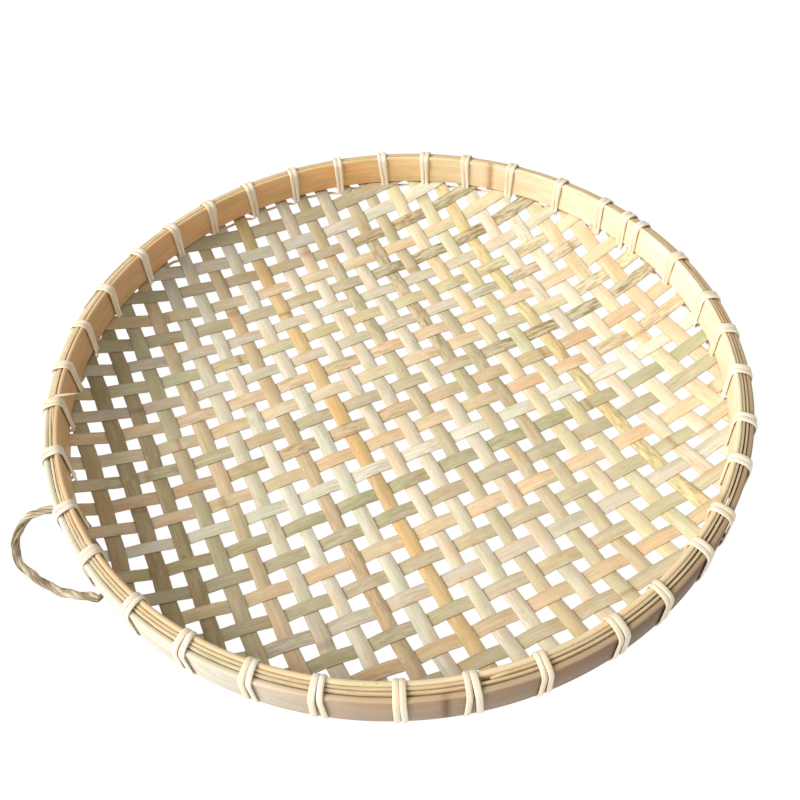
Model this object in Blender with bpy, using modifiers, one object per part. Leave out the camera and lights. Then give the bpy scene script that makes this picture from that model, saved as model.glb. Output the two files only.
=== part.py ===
"""Round open-weave bamboo tray with a lashed double-hoop rim and a cord hanging loop.

The tray stands on the flat middle of its woven mat. Origin: centre of the resting face, +Z up.
The mat is a plain weave of warp and weft splints, dished towards the rim. The splint ends turn up
into the slot between an inner and an outer bamboo hoop, two filler strips close the top of the slot,
and one long cane binds the rim with two turns at every tie.
"""
from collections import namedtuple
from math import cos, floor, hypot, pi, radians, sin, sqrt

import bmesh
import bpy
from mathutils import Vector
from mathutils.kdtree import KDTree

MM = 0.001
MERGE_DISTANCE = 0.01 * MM       # points this near to a cut are taken as on it

# Rim hoops
RIM_RADIUS = 225 * MM            # outside of the outer hoop
RIM_TOP = 47.5 * MM              # top edge of the outer hoop above the table
OUTER_HOOP_THICKNESS = 3.5 * MM
OUTER_HOOP_HEIGHT = 25 * MM
SLOT_WIDTH = 3.9 * MM            # between the two hoops
INNER_HOOP_THICKNESS = 3.2 * MM
INNER_HOOP_HEIGHT = 23.4 * MM
INNER_HOOP_STEP = 2.5 * MM       # the inner hoop stands this much above the outer one
OUTER_SCARF_LENGTH = 90 * MM
INNER_SCARF_LENGTH = 120 * MM
SCARF_TIP = 0.6 * MM             # thickness left at a scarfed end
SCARF_GAP = 0.3 * MM
OUTER_SCARF_ANGLE = 140          # degrees, where each scarf begins
INNER_SCARF_ANGLE = 40
HOOP_STEPS = 96

# Filler strips in the top of the slot
FILLER_THICKNESS = 1.2 * MM
FILLER_HEIGHT = 8.5 * MM
FILLER_GAP = 0.4 * MM            # between a filler and the hoop beside it
OUTER_FILLER_STEP = 1.0 * MM     # above the outer hoop's top
INNER_FILLER_STEP = 1.9 * MM
FILLER_END_GAP = 5 * MM
OUTER_FILLER_ANGLE = 18          # degrees, where the strip's two ends meet
INNER_FILLER_ANGLE = 279
FILLER_STEPS = 72

# Woven mat
WEAVE_ANGLE = radians(22.1)      # of the across axis of the warp from +X
WARP_PITCH = 18.0 * MM
WEFT_PITCH = 18.6 * MM
WARP_WIDTH = 9.7 * MM
WEFT_WIDTH = 9.8 * MM
WARP_SHIFT = -2.8 * MM           # of the middle splint from the centre
WEFT_SHIFT = -6.2 * MM
SPLINT_THICKNESS = 0.7 * MM
CROSSING_GAP = 0.5 * MM          # where two splints cross, least of all at the corners
FLAT_RADIUS = 70 * MM            # the mat is level inside this
DISH_POWER = 3.3
FOOT_INSET = 9.6 * MM            # from the rim's outside to where the ends start to turn up
HOOP_REST_GAP = 0.5 * MM         # between the mat and the inner hoop's lower edge
END_SIDE_GAP = 0.6 * MM          # between the upturned ends and the hoops
END_DROP = 1.8 * MM              # of the weft's bend below the inner hoop
END_LAYER_GAP = 0.9 * MM         # between the weft's and the warp's bends
TIP_GAP = 1.0 * MM               # between the splint tips and the fillers
REST_RADIUS = 66 * MM            # the low crossings within this are ground flat
REST_LENGTH = 6 * MM             # of each flat

# Cane lashing
CANE_WIDTH = 4.2 * MM
CANE_THICKNESS = 1.1 * MM
CANE_GAP = 0.35 * MM             # between the cane and what it binds
TURN_GAP = 0.5 * MM              # between the two turns of a tie
TURN_SPREAD = 1.2 * MM           # of each turn at the outer hoop's lower edge
CANE_WAIST = 2.6 * MM            # width where the cane goes through the mat
RUN_WIDTH = 3.0 * MM             # width of the hidden run between ties
RUN_OFFSET = 8 * MM              # along the rim from the tie to the run
RUN_INSET = 8 * MM               # from the rim's outside
TIE_TOP_GAP = 1.35 * MM          # under the cane where it crosses the two top edges
PASS_INSET = 1.0 * MM            # inward lean of the cane from the inner hoop to the mat's hole
PASS_DROP = 1.6 * MM             # of the cane under the mat's hole, from its height at the outer hoop
RUN_DROP = 0.6 * MM              # of the hidden run, from the same height
TIE_REACH = 5 * MM               # how far a tie may lean to find an open gap
REACH_STEP = 0.5 * MM
SLIT_GAP = 0.4 * MM              # around the cane where it must pass through a splint
SAMPLE_STEP = 1 * MM             # between the points that measure the cane's gap to itself
TIE_DEGREES = (1, 9, 20, 30.6, 34.3, 40, 50.5, 61.5, 71.5, 80.3, 89.7, 99.2, 109, 119, 128.5, 138,
               147, 157.5, 167, 177, 185.5, 195.6, 207, 217, 228, 237.7, 247.8, 257.3, 267.7, 277,
               286.7, 298, 306.4, 316, 323, 333, 341.5, 351.6)

# Hanging loop
CORD_DIAMETER = 5.4 * MM
CORD_GAP = 0.4 * MM
HINGE_GAP = 0.3 * MM             # between the loop's rounded ends and the fixed stretch of cord
LOOP_START_ANGLE = 200.5         # degrees, where the loop's two ends leave the rim
LOOP_END_ANGLE = 219.5
LOOP_STEPS = 36
ROOT_STEPS = 20
# The loop's route on the table: angle in degrees, distance out from the hinge circle, height
LOOP_ROUTE = ((200.1, 4.6 * MM, 18.4 * MM),
              (199.2, 10.0 * MM, 14.8 * MM),
              (198.4, 15.8 * MM, 10.3 * MM),
              (198.1, 21.0 * MM, 6.4 * MM),
              (198.5, 25.5 * MM, 4.0 * MM),
              (199.7, 28.8 * MM, 3.0 * MM),
              (201.3, 31.0 * MM, 2.9 * MM),
              (203.1, 31.5 * MM, 2.9 * MM),
              (204.9, 30.0 * MM, 2.9 * MM),
              (207.1, 25.9 * MM, 2.9 * MM),
              (209.5, 20.7 * MM, 3.3 * MM),
              (212.1, 15.0 * MM, 5.9 * MM),
              (214.7, 9.0 * MM, 10.8 * MM),
              (217.1, 4.4 * MM, 15.8 * MM))

# Places that follow from the sizes above
OUTER_HOOP_INSIDE = RIM_RADIUS - OUTER_HOOP_THICKNESS
OUTER_HOOP_BOTTOM = RIM_TOP - OUTER_HOOP_HEIGHT
INNER_HOOP_OUTSIDE = OUTER_HOOP_INSIDE - SLOT_WIDTH
INNER_HOOP_INSIDE = INNER_HOOP_OUTSIDE - INNER_HOOP_THICKNESS
INNER_HOOP_TOP = RIM_TOP + INNER_HOOP_STEP
INNER_HOOP_BOTTOM = INNER_HOOP_TOP - INNER_HOOP_HEIGHT
WEAVE_LIFT = (SPLINT_THICKNESS + CROSSING_GAP) / (2 - WARP_WIDTH / WARP_PITCH - WEFT_WIDTH / WEFT_PITCH)
MAT_MIDDLE = WEAVE_LIFT + SPLINT_THICKNESS / 2
FOOT_RADIUS = RIM_RADIUS - FOOT_INSET
STEEP_SHARE = 1.15               # how much the rim's slope stretches the weave's height
FOOT_HEIGHT = INNER_HOOP_BOTTOM - HOOP_REST_GAP - SPLINT_THICKNESS / 2 - WEAVE_LIFT * STEEP_SHARE
WEFT_END_RADIUS = INNER_HOOP_OUTSIDE + END_SIDE_GAP + SPLINT_THICKNESS / 2
WARP_END_RADIUS = OUTER_HOOP_INSIDE - END_SIDE_GAP - SPLINT_THICKNESS / 2
WEFT_BEND_HEIGHT = INNER_HOOP_BOTTOM - END_DROP
WARP_BEND_HEIGHT = WEFT_BEND_HEIGHT - SPLINT_THICKNESS - END_LAYER_GAP
SPLINT_TIP_HEIGHT = RIM_TOP + OUTER_FILLER_STEP - FILLER_HEIGHT - TIP_GAP
CANE_OFFSET = CANE_GAP + CANE_THICKNESS / 2
UNDER_HEIGHT = OUTER_HOOP_BOTTOM - CANE_OFFSET
PASS_RADIUS = INNER_HOOP_INSIDE - CANE_OFFSET - PASS_INSET
PASS_HEIGHT = UNDER_HEIGHT - PASS_DROP
CORD_RADIUS = CORD_DIAMETER / 2
HINGE_RADIUS = RIM_RADIUS + CORD_GAP + CORD_RADIUS
HINGE_HEIGHT = OUTER_HOOP_BOTTOM - CORD_RADIUS + HINGE_GAP

CANE_COLOUR = (0.86, 0.76, 0.58, 1)
HOOP_COLOUR = (0.72, 0.50, 0.27, 1)
WARP_COLOUR = (0.66, 0.57, 0.36, 1)
WEFT_COLOUR = (0.60, 0.55, 0.37, 1)
FILLER_COLOUR = (0.55, 0.44, 0.27, 1)
CORD_COLOUR = (0.42, 0.34, 0.22, 1)


def clear_scene():
    for thing in list(bpy.data.objects):
        bpy.data.objects.remove(thing, do_unlink=True)


def new_collection(name):
    collection = bpy.data.collections.new(name)
    bpy.context.scene.collection.children.link(collection)
    return collection


def plain_material(name, colour, roughness):
    material = bpy.data.materials.new(name)
    material.use_nodes = True
    shader = material.node_tree.nodes["Principled BSDF"]
    shader.inputs["Base Color"].default_value = colour
    shader.inputs["Roughness"].default_value = roughness
    shader.inputs["Metallic"].default_value = 0
    return material


def on_circle(radius, angle, height):
    return Vector((radius * cos(angle), radius * sin(angle), height))


def add_object(name, data, collection, material):
    thing = bpy.data.objects.new(name, data)
    if material:
        data.materials.append(material)
    collection.objects.link(thing)
    return thing


def mesh_object(name, bm, collection, material):
    mesh = bpy.data.meshes.new(name)
    bm.to_mesh(mesh)
    bm.free()
    return add_object(name, mesh, collection, material)


def loft(name, sections, collection, material):
    """Closed body through four-cornered sections, each corner list running the same way round."""
    bm = bmesh.new()
    rings = [[bm.verts.new(corner) for corner in section] for section in sections]
    for ring, following in zip(rings, rings[1:]):
        for corner in range(len(ring)):
            beside = (corner + 1) % len(ring)
            bm.faces.new((ring[corner], ring[beside], following[beside], following[corner]))
    bm.faces.new(rings[0])
    bm.faces.new(rings[-1])
    bmesh.ops.recalc_face_normals(bm, faces=bm.faces)
    thing = mesh_object(name, bm, collection, material)
    thing.data.shade_smooth()
    thing.data.set_sharp_from_angle(angle=radians(30))
    return thing


# Rim: bent strips

def strip_section(angle, inside, outside, low, high):
    return [on_circle(inside, angle, low), on_circle(outside, angle, low),
            on_circle(outside, angle, high), on_circle(inside, angle, high)]


def scarfed_hoop(name, inside, thickness, low, high, start, scarf_length, collection, material):
    """A strip bent once round, its two tapered ends lapped with a fine gap between them."""
    outside = inside + thickness
    scarf = scarf_length / outside
    shoulder = SCARF_GAP / outside
    taper = thickness - 2 * SCARF_TIP - SCARF_GAP
    lap_steps = max(2, round(HOOP_STEPS * scarf / (2 * pi)))
    body_steps = HOOP_STEPS - lap_steps
    sections = []
    for step in range(lap_steps + 1):
        share = step / lap_steps
        sections.append(strip_section(start + scarf * share, inside, inside + SCARF_TIP + taper * share,
                                      low, high))
    body_start = start + scarf + shoulder
    body_turn = 2 * pi - scarf - 2 * shoulder
    for step in range(body_steps + 1):
        sections.append(strip_section(body_start + body_turn * step / body_steps, inside, outside, low, high))
    for step in range(lap_steps + 1):
        share = step / lap_steps
        sections.append(strip_section(start + 2 * pi + scarf * share,
                                      inside + SCARF_TIP + SCARF_GAP + taper * share, outside, low, high))
    return loft(name, sections, collection, material)


def filler_strip(name, inside, top, seam, collection, material):
    outside = inside + FILLER_THICKNESS
    gap = FILLER_END_GAP / outside
    sections = []
    for step in range(FILLER_STEPS + 1):
        angle = seam + gap / 2 + (2 * pi - gap) * step / FILLER_STEPS
        sections.append(strip_section(angle, inside, outside, top - FILLER_HEIGHT, top))
    return loft(name, sections, collection, material)


# Mat: one splint at a time

def dish_height(radius):
    """Height of the mat's middle surface."""
    share = max(0, radius - FLAT_RADIUS) / (FOOT_RADIUS - FLAT_RADIUS)
    return MAT_MIDDLE + (FOOT_HEIGHT - MAT_MIDDLE) * share ** DISH_POWER


def dish_slope(radius):
    span = FOOT_RADIUS - FLAT_RADIUS
    share = max(0, radius - FLAT_RADIUS) / span
    return (FOOT_HEIGHT - MAT_MIDDLE) * DISH_POWER * share ** (DISH_POWER - 1) / span


def on_mat(x, y, lift):
    radius = hypot(x, y)
    point = Vector((x, y, dish_height(radius)))
    if radius > FLAT_RADIUS:
        slope = dish_slope(radius)
        point += Vector((-slope * x / radius, -slope * y / radius, 1)).normalized() * lift
    else:
        point.z += lift
    return point


class Family:
    """Warp or weft: parallel splints, one pitch apart, crossing those of the other family."""

    def __init__(self, name, across, along, pitch, shift, width, end_radius, bend_height, sign):
        self.name = name
        self.across = across
        self.along = along
        self.pitch = pitch
        self.shift = shift
        self.width = width
        self.end_radius = end_radius
        self.bend_height = bend_height
        self.sign = sign
        self.other = None

    def place(self, index):
        return self.shift + self.pitch * index

    def indices(self, reach):
        """Numbers of the splints whose middle lies within reach of the centre."""
        lowest = -floor((reach + self.shift) / self.pitch)
        highest = floor((reach - self.shift) / self.pitch)
        return range(lowest, highest + 1)

    def world(self, across, along):
        return self.across * across + self.along * along


def splint_reach(family):
    """The outermost splint still leaves its own width to the foot of the rim."""
    return FOOT_RADIUS - family.width


def crossing_height(family, index, crossing):
    """Over or under by turns. In the rim every weft end lies over every warp end."""
    centre = hypot(family.place(index), family.other.place(crossing))
    margin = hypot(family.width, family.other.width) / 2
    if centre + margin > FOOT_RADIUS:
        return -family.sign * WEAVE_LIFT
    over = 1 if (index + crossing) % 2 else -1
    return family.sign * over * WEAVE_LIFT


def splint_stations(family, index):
    """Places along the splint with the height of the weave there."""
    stations = []
    reach = FOOT_RADIUS + family.other.pitch
    for crossing in family.other.indices(reach):
        place = family.other.place(crossing)
        lift = crossing_height(family, index, crossing)
        if lift < 0 and hypot(family.place(index), place) < REST_RADIUS:
            stations.append((place - REST_LENGTH / 2, lift))
            stations.append((place + REST_LENGTH / 2, lift))
        else:
            stations.append((place, lift))
    return stations


def edge_reach(radius, across):
    return sqrt(max(0, radius * radius - across * across))


def bend_end(bm, family, index, side):
    """Cut the splint where the rim begins, then turn its end up into the slot."""
    middle = family.place(index)
    left, right = middle - family.width / 2, middle + family.width / 2
    left_foot = family.world(left, side * edge_reach(FOOT_RADIUS, left))
    right_foot = family.world(right, side * edge_reach(FOOT_RADIUS, right))
    cut_line = right_foot - left_foot
    normal = Vector((-cut_line.y, cut_line.x, 0)).normalized()
    if normal.dot(left_foot + right_foot) < 0:
        normal = -normal
    parts = list(bm.verts) + list(bm.edges) + list(bm.faces)
    cut = bmesh.ops.bisect_plane(bm, geom=parts, dist=MERGE_DISTANCE, plane_co=left_foot, plane_no=normal,
                                 clear_outer=True)
    edges = [part for part in cut["geom_cut"] if isinstance(part, bmesh.types.BMEdge)]
    for height in (family.bend_height, SPLINT_TIP_HEIGHT):
        grown = bmesh.ops.extrude_edge_only(bm, edges=edges)["geom"]
        edges = [part for part in grown if isinstance(part, bmesh.types.BMEdge)]
        for vertex in (part for part in grown if isinstance(part, bmesh.types.BMVert)):
            across = vertex.co.dot(family.across)
            place = family.world(across, side * edge_reach(family.end_radius, across))
            vertex.co = Vector((place.x, place.y, height))


def splint(name, family, index, collection, material):
    stations = splint_stations(family, index)
    bm = bmesh.new()
    grid = bmesh.ops.create_grid(bm, x_segments=1, y_segments=len(stations) - 1, size=1)
    for number, vertex in enumerate(grid["verts"]):
        along, lift = stations[number // 2]
        edge = family.width / 2 if number % 2 else -family.width / 2
        place = family.world(family.place(index) + edge, along)
        vertex.co = on_mat(place.x, place.y, lift)
    for side in (-1, 1):
        bend_end(bm, family, index, side)
    thing = mesh_object(name, bm, collection, material)
    thickness = thing.modifiers.new("Splint thickness", "SOLIDIFY")
    thickness.thickness = SPLINT_THICKNESS
    thickness.offset = 0
    thickness.use_even_offset = False
    return thing


def gap_to_family(family, point):
    """Distance from a point to the edge of the nearest splint, less than zero on the splint."""
    across = point.dot(family.across)
    nearest = round((across - family.shift) / family.pitch)
    if nearest not in family.indices(splint_reach(family)):
        return family.pitch
    return abs(across - family.place(nearest)) - family.width / 2


# Lashing: one cane, two turns at each tie

def pass_corners(angle, lean):
    """Outline of the hole that the two turns need, where they go through the mat."""
    outward = on_circle(1, angle, 0)
    sideways = on_circle(1, angle + pi / 2, 0)
    half_length = CANE_WAIST + TURN_GAP / 2
    half_depth = (CANE_THICKNESS + PASS_INSET) / 2
    middle = outward * (PASS_RADIUS + PASS_INSET / 2) + sideways * lean
    return [middle + sideways * along * half_length + outward * out * half_depth
            for along in (-1, -0.5, 0, 0.5, 1) for out in (-1, 1)]


def open_gap(families, angle, lean):
    return min(gap_to_family(family, corner)
               for family in families for corner in pass_corners(angle, lean))


def tie_room(angle):
    """How far a tie may lean to either side and still keep clear of its neighbours."""
    turns = [abs(radians(value) - angle) for value in TIE_DEGREES]
    nearest = min(min(turn, 2 * pi - turn) for turn in turns if turn > 0)
    return min(TIE_REACH, nearest * PASS_RADIUS / 2 - CANE_WAIST - TURN_GAP)


def tie_lean(families, angle):
    """The least sideways lean that takes the cane through an open gap of the weave."""
    leans = [0]
    for step in range(1, int(tie_room(angle) / REACH_STEP) + 1):
        leans += [step * REACH_STEP, -step * REACH_STEP]
    for lean in leans:
        if open_gap(families, angle, lean) > SLIT_GAP:
            return lean
    return max(leans, key=lambda lean: open_gap(families, angle, lean))


def turn_points(angle, side, lean):
    """One turn: up the outer hoop, over both top edges, down the inner hoop and through the mat.

    Each entry is radius, sideways place, height, cane width.
    """
    beside = side * (CANE_WIDTH + TURN_GAP) / 2
    waist = lean + side * (CANE_WAIST + TURN_GAP) / 2
    out = RIM_RADIUS + CANE_OFFSET
    inward = INNER_HOOP_INSIDE - CANE_OFFSET
    return [(out, beside + side * TURN_SPREAD, UNDER_HEIGHT, CANE_WIDTH),
            (out, beside, RIM_TOP + TIE_TOP_GAP + CANE_THICKNESS / 2, CANE_WIDTH),
            (inward, beside, INNER_HOOP_TOP + TIE_TOP_GAP + CANE_THICKNESS / 2, CANE_WIDTH),
            (inward, waist, INNER_HOOP_BOTTOM - CANE_OFFSET, CANE_WAIST),
            (PASS_RADIUS, waist, PASS_HEIGHT, CANE_WAIST)]


# The face of the cane that looks away from the rim, for the stretch after each point of a turn
OUTWARD, UP, INWARD, DOWN = "outward", "up", "inward", "down"
TURN_FACES = (OUTWARD, UP, INWARD, INWARD, DOWN)


def facing(face, angle):
    if face == OUTWARD:
        return on_circle(1, angle, 0)
    if face == INWARD:
        return -on_circle(1, angle, 0)
    return Vector((0, 0, 1 if face == UP else -1))


def rim_point(angle, radius, sideways, height):
    point = on_circle(radius, angle, height)
    return point + on_circle(sideways, angle + pi / 2, 0)


# One point of the lashing: the cane's width there, the face and angle of the stretch that follows it,
# and whether the point belongs to a turn round the rim
Station = namedtuple("Station", "point width face angle turn")


def run_station(angle, sideways):
    point = rim_point(angle, RIM_RADIUS - RUN_INSET, sideways, UNDER_HEIGHT - RUN_DROP)
    return Station(point, RUN_WIDTH, DOWN, angle, False)


def cane_route(families):
    """The whole lashing, station by station."""
    route = []
    angles = [radians(value) for value in TIE_DEGREES]
    for number, angle in enumerate(angles):
        before = angles[number - 1] - (2 * pi if number == 0 else 0)
        after = angles[(number + 1) % len(angles)] + (2 * pi if number == len(angles) - 1 else 0)
        room_before = (angle - before) * (RIM_RADIUS - RUN_INSET) / 2
        room_after = (after - angle) * (RIM_RADIUS - RUN_INSET) / 2
        if room_before > RUN_OFFSET:
            route.append(run_station(angle, -RUN_OFFSET))
        lean = tie_lean(families, angle)
        for side in (-1, 1):
            for (radius, sideways, height, width), face in zip(turn_points(angle, side, lean), TURN_FACES):
                route.append(Station(rim_point(angle, radius, sideways, height), width, face, angle, True))
        if room_after > RUN_OFFSET:
            route.append(run_station(angle, RUN_OFFSET))
        else:
            route.append(run_station((angle + after) / 2, 0))
    return route


def mitre(before, after):
    """The direction shared by two faces that meet, long enough to keep the thickness round the bend."""
    return (before + after) / (1 + before.dot(after))


def cane_sections(families):
    """Four corners of the cane at every station, two on the side it binds and two on the outer side."""
    route = cane_route(families)
    sides = [facing(here.face, here.angle).cross(following.point - here.point).normalized()
             for here, following in zip(route, route[1:])]
    sides = [sides[0]] + sides + [sides[-1]]
    sections = []
    for number, here in enumerate(route):
        before = route[max(0, number - 1)]
        side = -on_circle(1, here.angle + pi / 2, 0) if here.turn else mitre(sides[number], sides[number + 1])
        side = side * here.width / 2
        depth = mitre(facing(before.face, here.angle), facing(here.face, here.angle)) * CANE_THICKNESS / 2
        sections.append([here.point - side - depth, here.point + side - depth,
                         here.point + side + depth, here.point - side + depth])
    return sections


def slit_cutters(families, collection):
    """A block round each place where no open gap is in reach and the cane goes through a splint."""
    cutters = []
    top = INNER_HOOP_BOTTOM + CANE_THICKNESS
    bottom = PASS_HEIGHT - CANE_THICKNESS
    for value in TIE_DEGREES:
        angle = radians(value)
        lean = tie_lean(families, angle)
        if open_gap(families, angle, lean) > SLIT_GAP:
            continue
        bm = bmesh.new()
        bmesh.ops.create_cube(bm, size=1)
        length = 2 * CANE_WAIST + TURN_GAP + 2 * SLIT_GAP
        depth = PASS_INSET + CANE_THICKNESS + 2 * SLIT_GAP
        cutter = mesh_object(f"slit_{value:g}", bm, collection, None)
        cutter.scale = (depth, length, top - bottom)
        cutter.rotation_euler.z = angle
        cutter.location = rim_point(angle, PASS_RADIUS + PASS_INSET / 2, lean, (top + bottom) / 2)
        cutter.hide_render = True
        cutter.display_type = "WIRE"
        cutters.append((cutter, pass_corners(angle, lean)))
    return cutters


def cut_slits(thing, family, index, cutters):
    for cutter, corners in cutters:
        nearest = min(abs(corner.dot(family.across) - family.place(index)) for corner in corners)
        if nearest < family.width / 2 + SLIT_GAP:
            slit = thing.modifiers.new("Slit for the cane", "BOOLEAN")
            slit.operation = "DIFFERENCE"
            slit.solver = "EXACT"
            slit.object = cutter


# Hanging loop

def smooth_route(points, count):
    """Evenly spaced points on a Catmull-Rom curve through the given ones."""
    padded = [2 * points[0] - points[1]] + points + [2 * points[-1] - points[-2]]
    fine = []
    pieces = 12
    for number in range(1, len(padded) - 2):
        before, start, end, after = padded[number - 1:number + 3]
        for piece in range(pieces):
            t = piece / pieces
            fine.append(0.5 * (2 * start + (end - before) * t
                               + (2 * before - 5 * start + 4 * end - after) * t * t
                               + (3 * start - before - 3 * end + after) * t * t * t))
    fine.append(points[-1])
    lengths = [0]
    for here, following in zip(fine, fine[1:]):
        lengths.append(lengths[-1] + (following - here).length)
    route = []
    number = 0
    for step in range(count):
        wanted = lengths[-1] * step / (count - 1)
        while number < len(fine) - 2 and lengths[number + 1] < wanted:
            number += 1
        share = (wanted - lengths[number]) / (lengths[number + 1] - lengths[number])
        route.append(fine[number].lerp(fine[number + 1], min(1, share)))
    return route


def round_end(points):
    """Extra points past the first one that close a cord in a half ball, as point and radius share."""
    heading = (points[0] - points[1]).normalized()
    return [(points[0] + heading * CORD_RADIUS * sin(turn), max(0.05, cos(turn)))
            for turn in (radians(85), radians(60), radians(30))]


def cord_object(name, points, origin, collection, material, ball_ends):
    course = [(point, 1) for point in points]
    if ball_ends:
        course = round_end(points) + course + round_end(points[::-1])[::-1]
    curve = bpy.data.curves.new(name, "CURVE")
    curve.dimensions = "3D"
    curve.bevel_depth = CORD_RADIUS
    curve.bevel_resolution = 2
    curve.use_fill_caps = True
    spline = curve.splines.new("POLY")
    spline.points.add(len(course) - 1)
    for place, (point, share) in zip(spline.points, course):
        place.co = (*(point - origin), 1)
        place.radius = share
    thing = add_object(name, curve, collection, material)
    thing.location = origin
    return thing


def hinge_ends():
    return (on_circle(HINGE_RADIUS, radians(LOOP_START_ANGLE), HINGE_HEIGHT),
            on_circle(HINGE_RADIUS, radians(LOOP_END_ANGLE), HINGE_HEIGHT))


def hanging_loop(name, collection, material):
    start, end = hinge_ends()
    points = [start]
    points += [on_circle(HINGE_RADIUS + out, radians(value), height) for value, out, height in LOOP_ROUTE]
    points.append(end)
    route = smooth_route(points, LOOP_STEPS)
    return cord_object(name, route, (start + end) / 2, collection, material, True)


def loop_root(name, collection, material):
    """The hidden stretch of the cord: in under the rim at one end of the loop and out at the other."""
    inset = CORD_RADIUS + HINGE_GAP
    start_angle = radians(LOOP_START_ANGLE)
    end_angle = radians(LOOP_END_ANGLE)
    under_cane = PASS_HEIGHT - CANE_OFFSET - CORD_RADIUS
    mouth = HINGE_RADIUS - inset
    below_hoop = OUTER_HOOP_BOTTOM - CORD_RADIUS - CORD_GAP
    run = RIM_RADIUS - RUN_INSET
    corner = CORD_DIAMETER / run
    points = [on_circle(mouth, start_angle, below_hoop),
              on_circle((mouth + run) / 2, start_angle + corner / 4, (below_hoop + under_cane) / 2),
              on_circle(run, start_angle + 1.5 * corner, under_cane)]
    for share in (0.3, 0.5, 0.7):
        angle = start_angle + (end_angle - start_angle) * share
        points.append(on_circle(run - CORD_RADIUS, angle, under_cane))
    points += [on_circle(run, end_angle - 1.5 * corner, under_cane),
               on_circle((mouth + run) / 2, end_angle - corner / 4, (below_hoop + under_cane) / 2),
               on_circle(mouth, end_angle, below_hoop)]
    route = smooth_route(points, ROOT_STEPS)
    return cord_object(name, route, Vector((0, 0, 0)), collection, material, False)


def least_self_gap(sections):
    """Least clear distance between stretches of the cane that are not neighbours along it."""
    samples = []
    for number, (here, following) in enumerate(zip(sections, sections[1:])):
        pieces = max(2, round((following[0] - here[0]).length / SAMPLE_STEP))
        for piece in range(pieces):
            corners = [start.lerp(end, piece / pieces) for start, end in zip(here, following)]
            for left, right in ((corners[0], corners[1]), (corners[3], corners[2])):
                samples += [(number, left.lerp(right, across)) for across in (0, 0.25, 0.5, 0.75, 1)]
    tree = KDTree(len(samples))
    for number, (stretch, point) in enumerate(samples):
        tree.insert(point, number)
    tree.balance()
    least = CANE_WIDTH
    for stretch, point in samples:
        for found, number, distance in tree.find_range(point, least):
            if abs(samples[number][0] - stretch) > 2:
                least = min(least, distance)
    return least


def main():
    clear_scene()
    pieces = new_collection("Woven bamboo tray")
    cutters = new_collection("Cutters")
    splint_bamboo = plain_material("Pale straw bamboo, warp", WARP_COLOUR, 0.6)
    weft_bamboo = plain_material("Olive straw bamboo, weft", WEFT_COLOUR, 0.6)
    hoop_bamboo = plain_material("Honey bamboo, hoops", HOOP_COLOUR, 0.5)
    filler_bamboo = plain_material("Split bamboo, fillers", FILLER_COLOUR, 0.7)
    cane = plain_material("Cream cane", CANE_COLOUR, 0.45)
    twine = plain_material("Twisted plant cord", CORD_COLOUR, 0.85)

    scarfed_hoop("outer_hoop", OUTER_HOOP_INSIDE, OUTER_HOOP_THICKNESS, OUTER_HOOP_BOTTOM, RIM_TOP,
                 radians(OUTER_SCARF_ANGLE), OUTER_SCARF_LENGTH, pieces, hoop_bamboo)
    scarfed_hoop("inner_hoop", INNER_HOOP_INSIDE, INNER_HOOP_THICKNESS, INNER_HOOP_BOTTOM, INNER_HOOP_TOP,
                 radians(INNER_SCARF_ANGLE), INNER_SCARF_LENGTH, pieces, hoop_bamboo)
    filler_strip("outer_filler", OUTER_HOOP_INSIDE - FILLER_GAP - FILLER_THICKNESS,
                 RIM_TOP + OUTER_FILLER_STEP, radians(OUTER_FILLER_ANGLE), pieces, filler_bamboo)
    filler_strip("inner_filler", INNER_HOOP_OUTSIDE + FILLER_GAP,
                 RIM_TOP + INNER_FILLER_STEP, radians(INNER_FILLER_ANGLE), pieces, filler_bamboo)

    across_warp = on_circle(1, WEAVE_ANGLE, 0)
    across_weft = on_circle(1, WEAVE_ANGLE + pi / 2, 0)
    warp = Family("warp", across_warp, across_weft, WARP_PITCH, WARP_SHIFT, WARP_WIDTH,
                  WARP_END_RADIUS, WARP_BEND_HEIGHT, 1)
    weft = Family("weft", across_weft, across_warp, WEFT_PITCH, WEFT_SHIFT, WEFT_WIDTH,
                  WEFT_END_RADIUS, WEFT_BEND_HEIGHT, -1)
    warp.other, weft.other = weft, warp
    families = (warp, weft)

    slits = slit_cutters(families, cutters)
    for family, material in zip(families, (splint_bamboo, weft_bamboo)):
        for number, index in enumerate(family.indices(splint_reach(family)), start=1):
            thing = splint(f"{family.name}_splint_{number:02d}", family, index, pieces, material)
            cut_slits(thing, family, index, slits)

    sections = cane_sections(families)
    loft("rim_lashing", sections, pieces, cane)
    print(f"Least gap of the cane to itself: {least_self_gap(sections) / MM:.2f} mm")

    loop_root("loop_root", pieces, twine)
    hanging_loop("hanging_loop", pieces, twine)
    start, end = hinge_ends()
    axis = (end - start).normalized()
    print(f"Loop hinge through {tuple(round(value, 5) for value in (start + end) / 2)}, "
          f"axis {tuple(round(value, 5) for value in axis)}")


main()
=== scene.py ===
"""Looks of a round open-weave bamboo tray basket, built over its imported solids.

Metres, +Z up. The tray stands on z = 0 with its open side up, and its centre is on the Z axis.
Every hoop, filler, splint, cane and cord strand is swept along its own route by one Geometry Nodes tree.
"""
import random
from math import ceil, copysign, cos, degrees, exp, floor, hypot, pi, radians, sin, sqrt

import bmesh
import bpy
from mathutils import Matrix, Vector, noise


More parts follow.
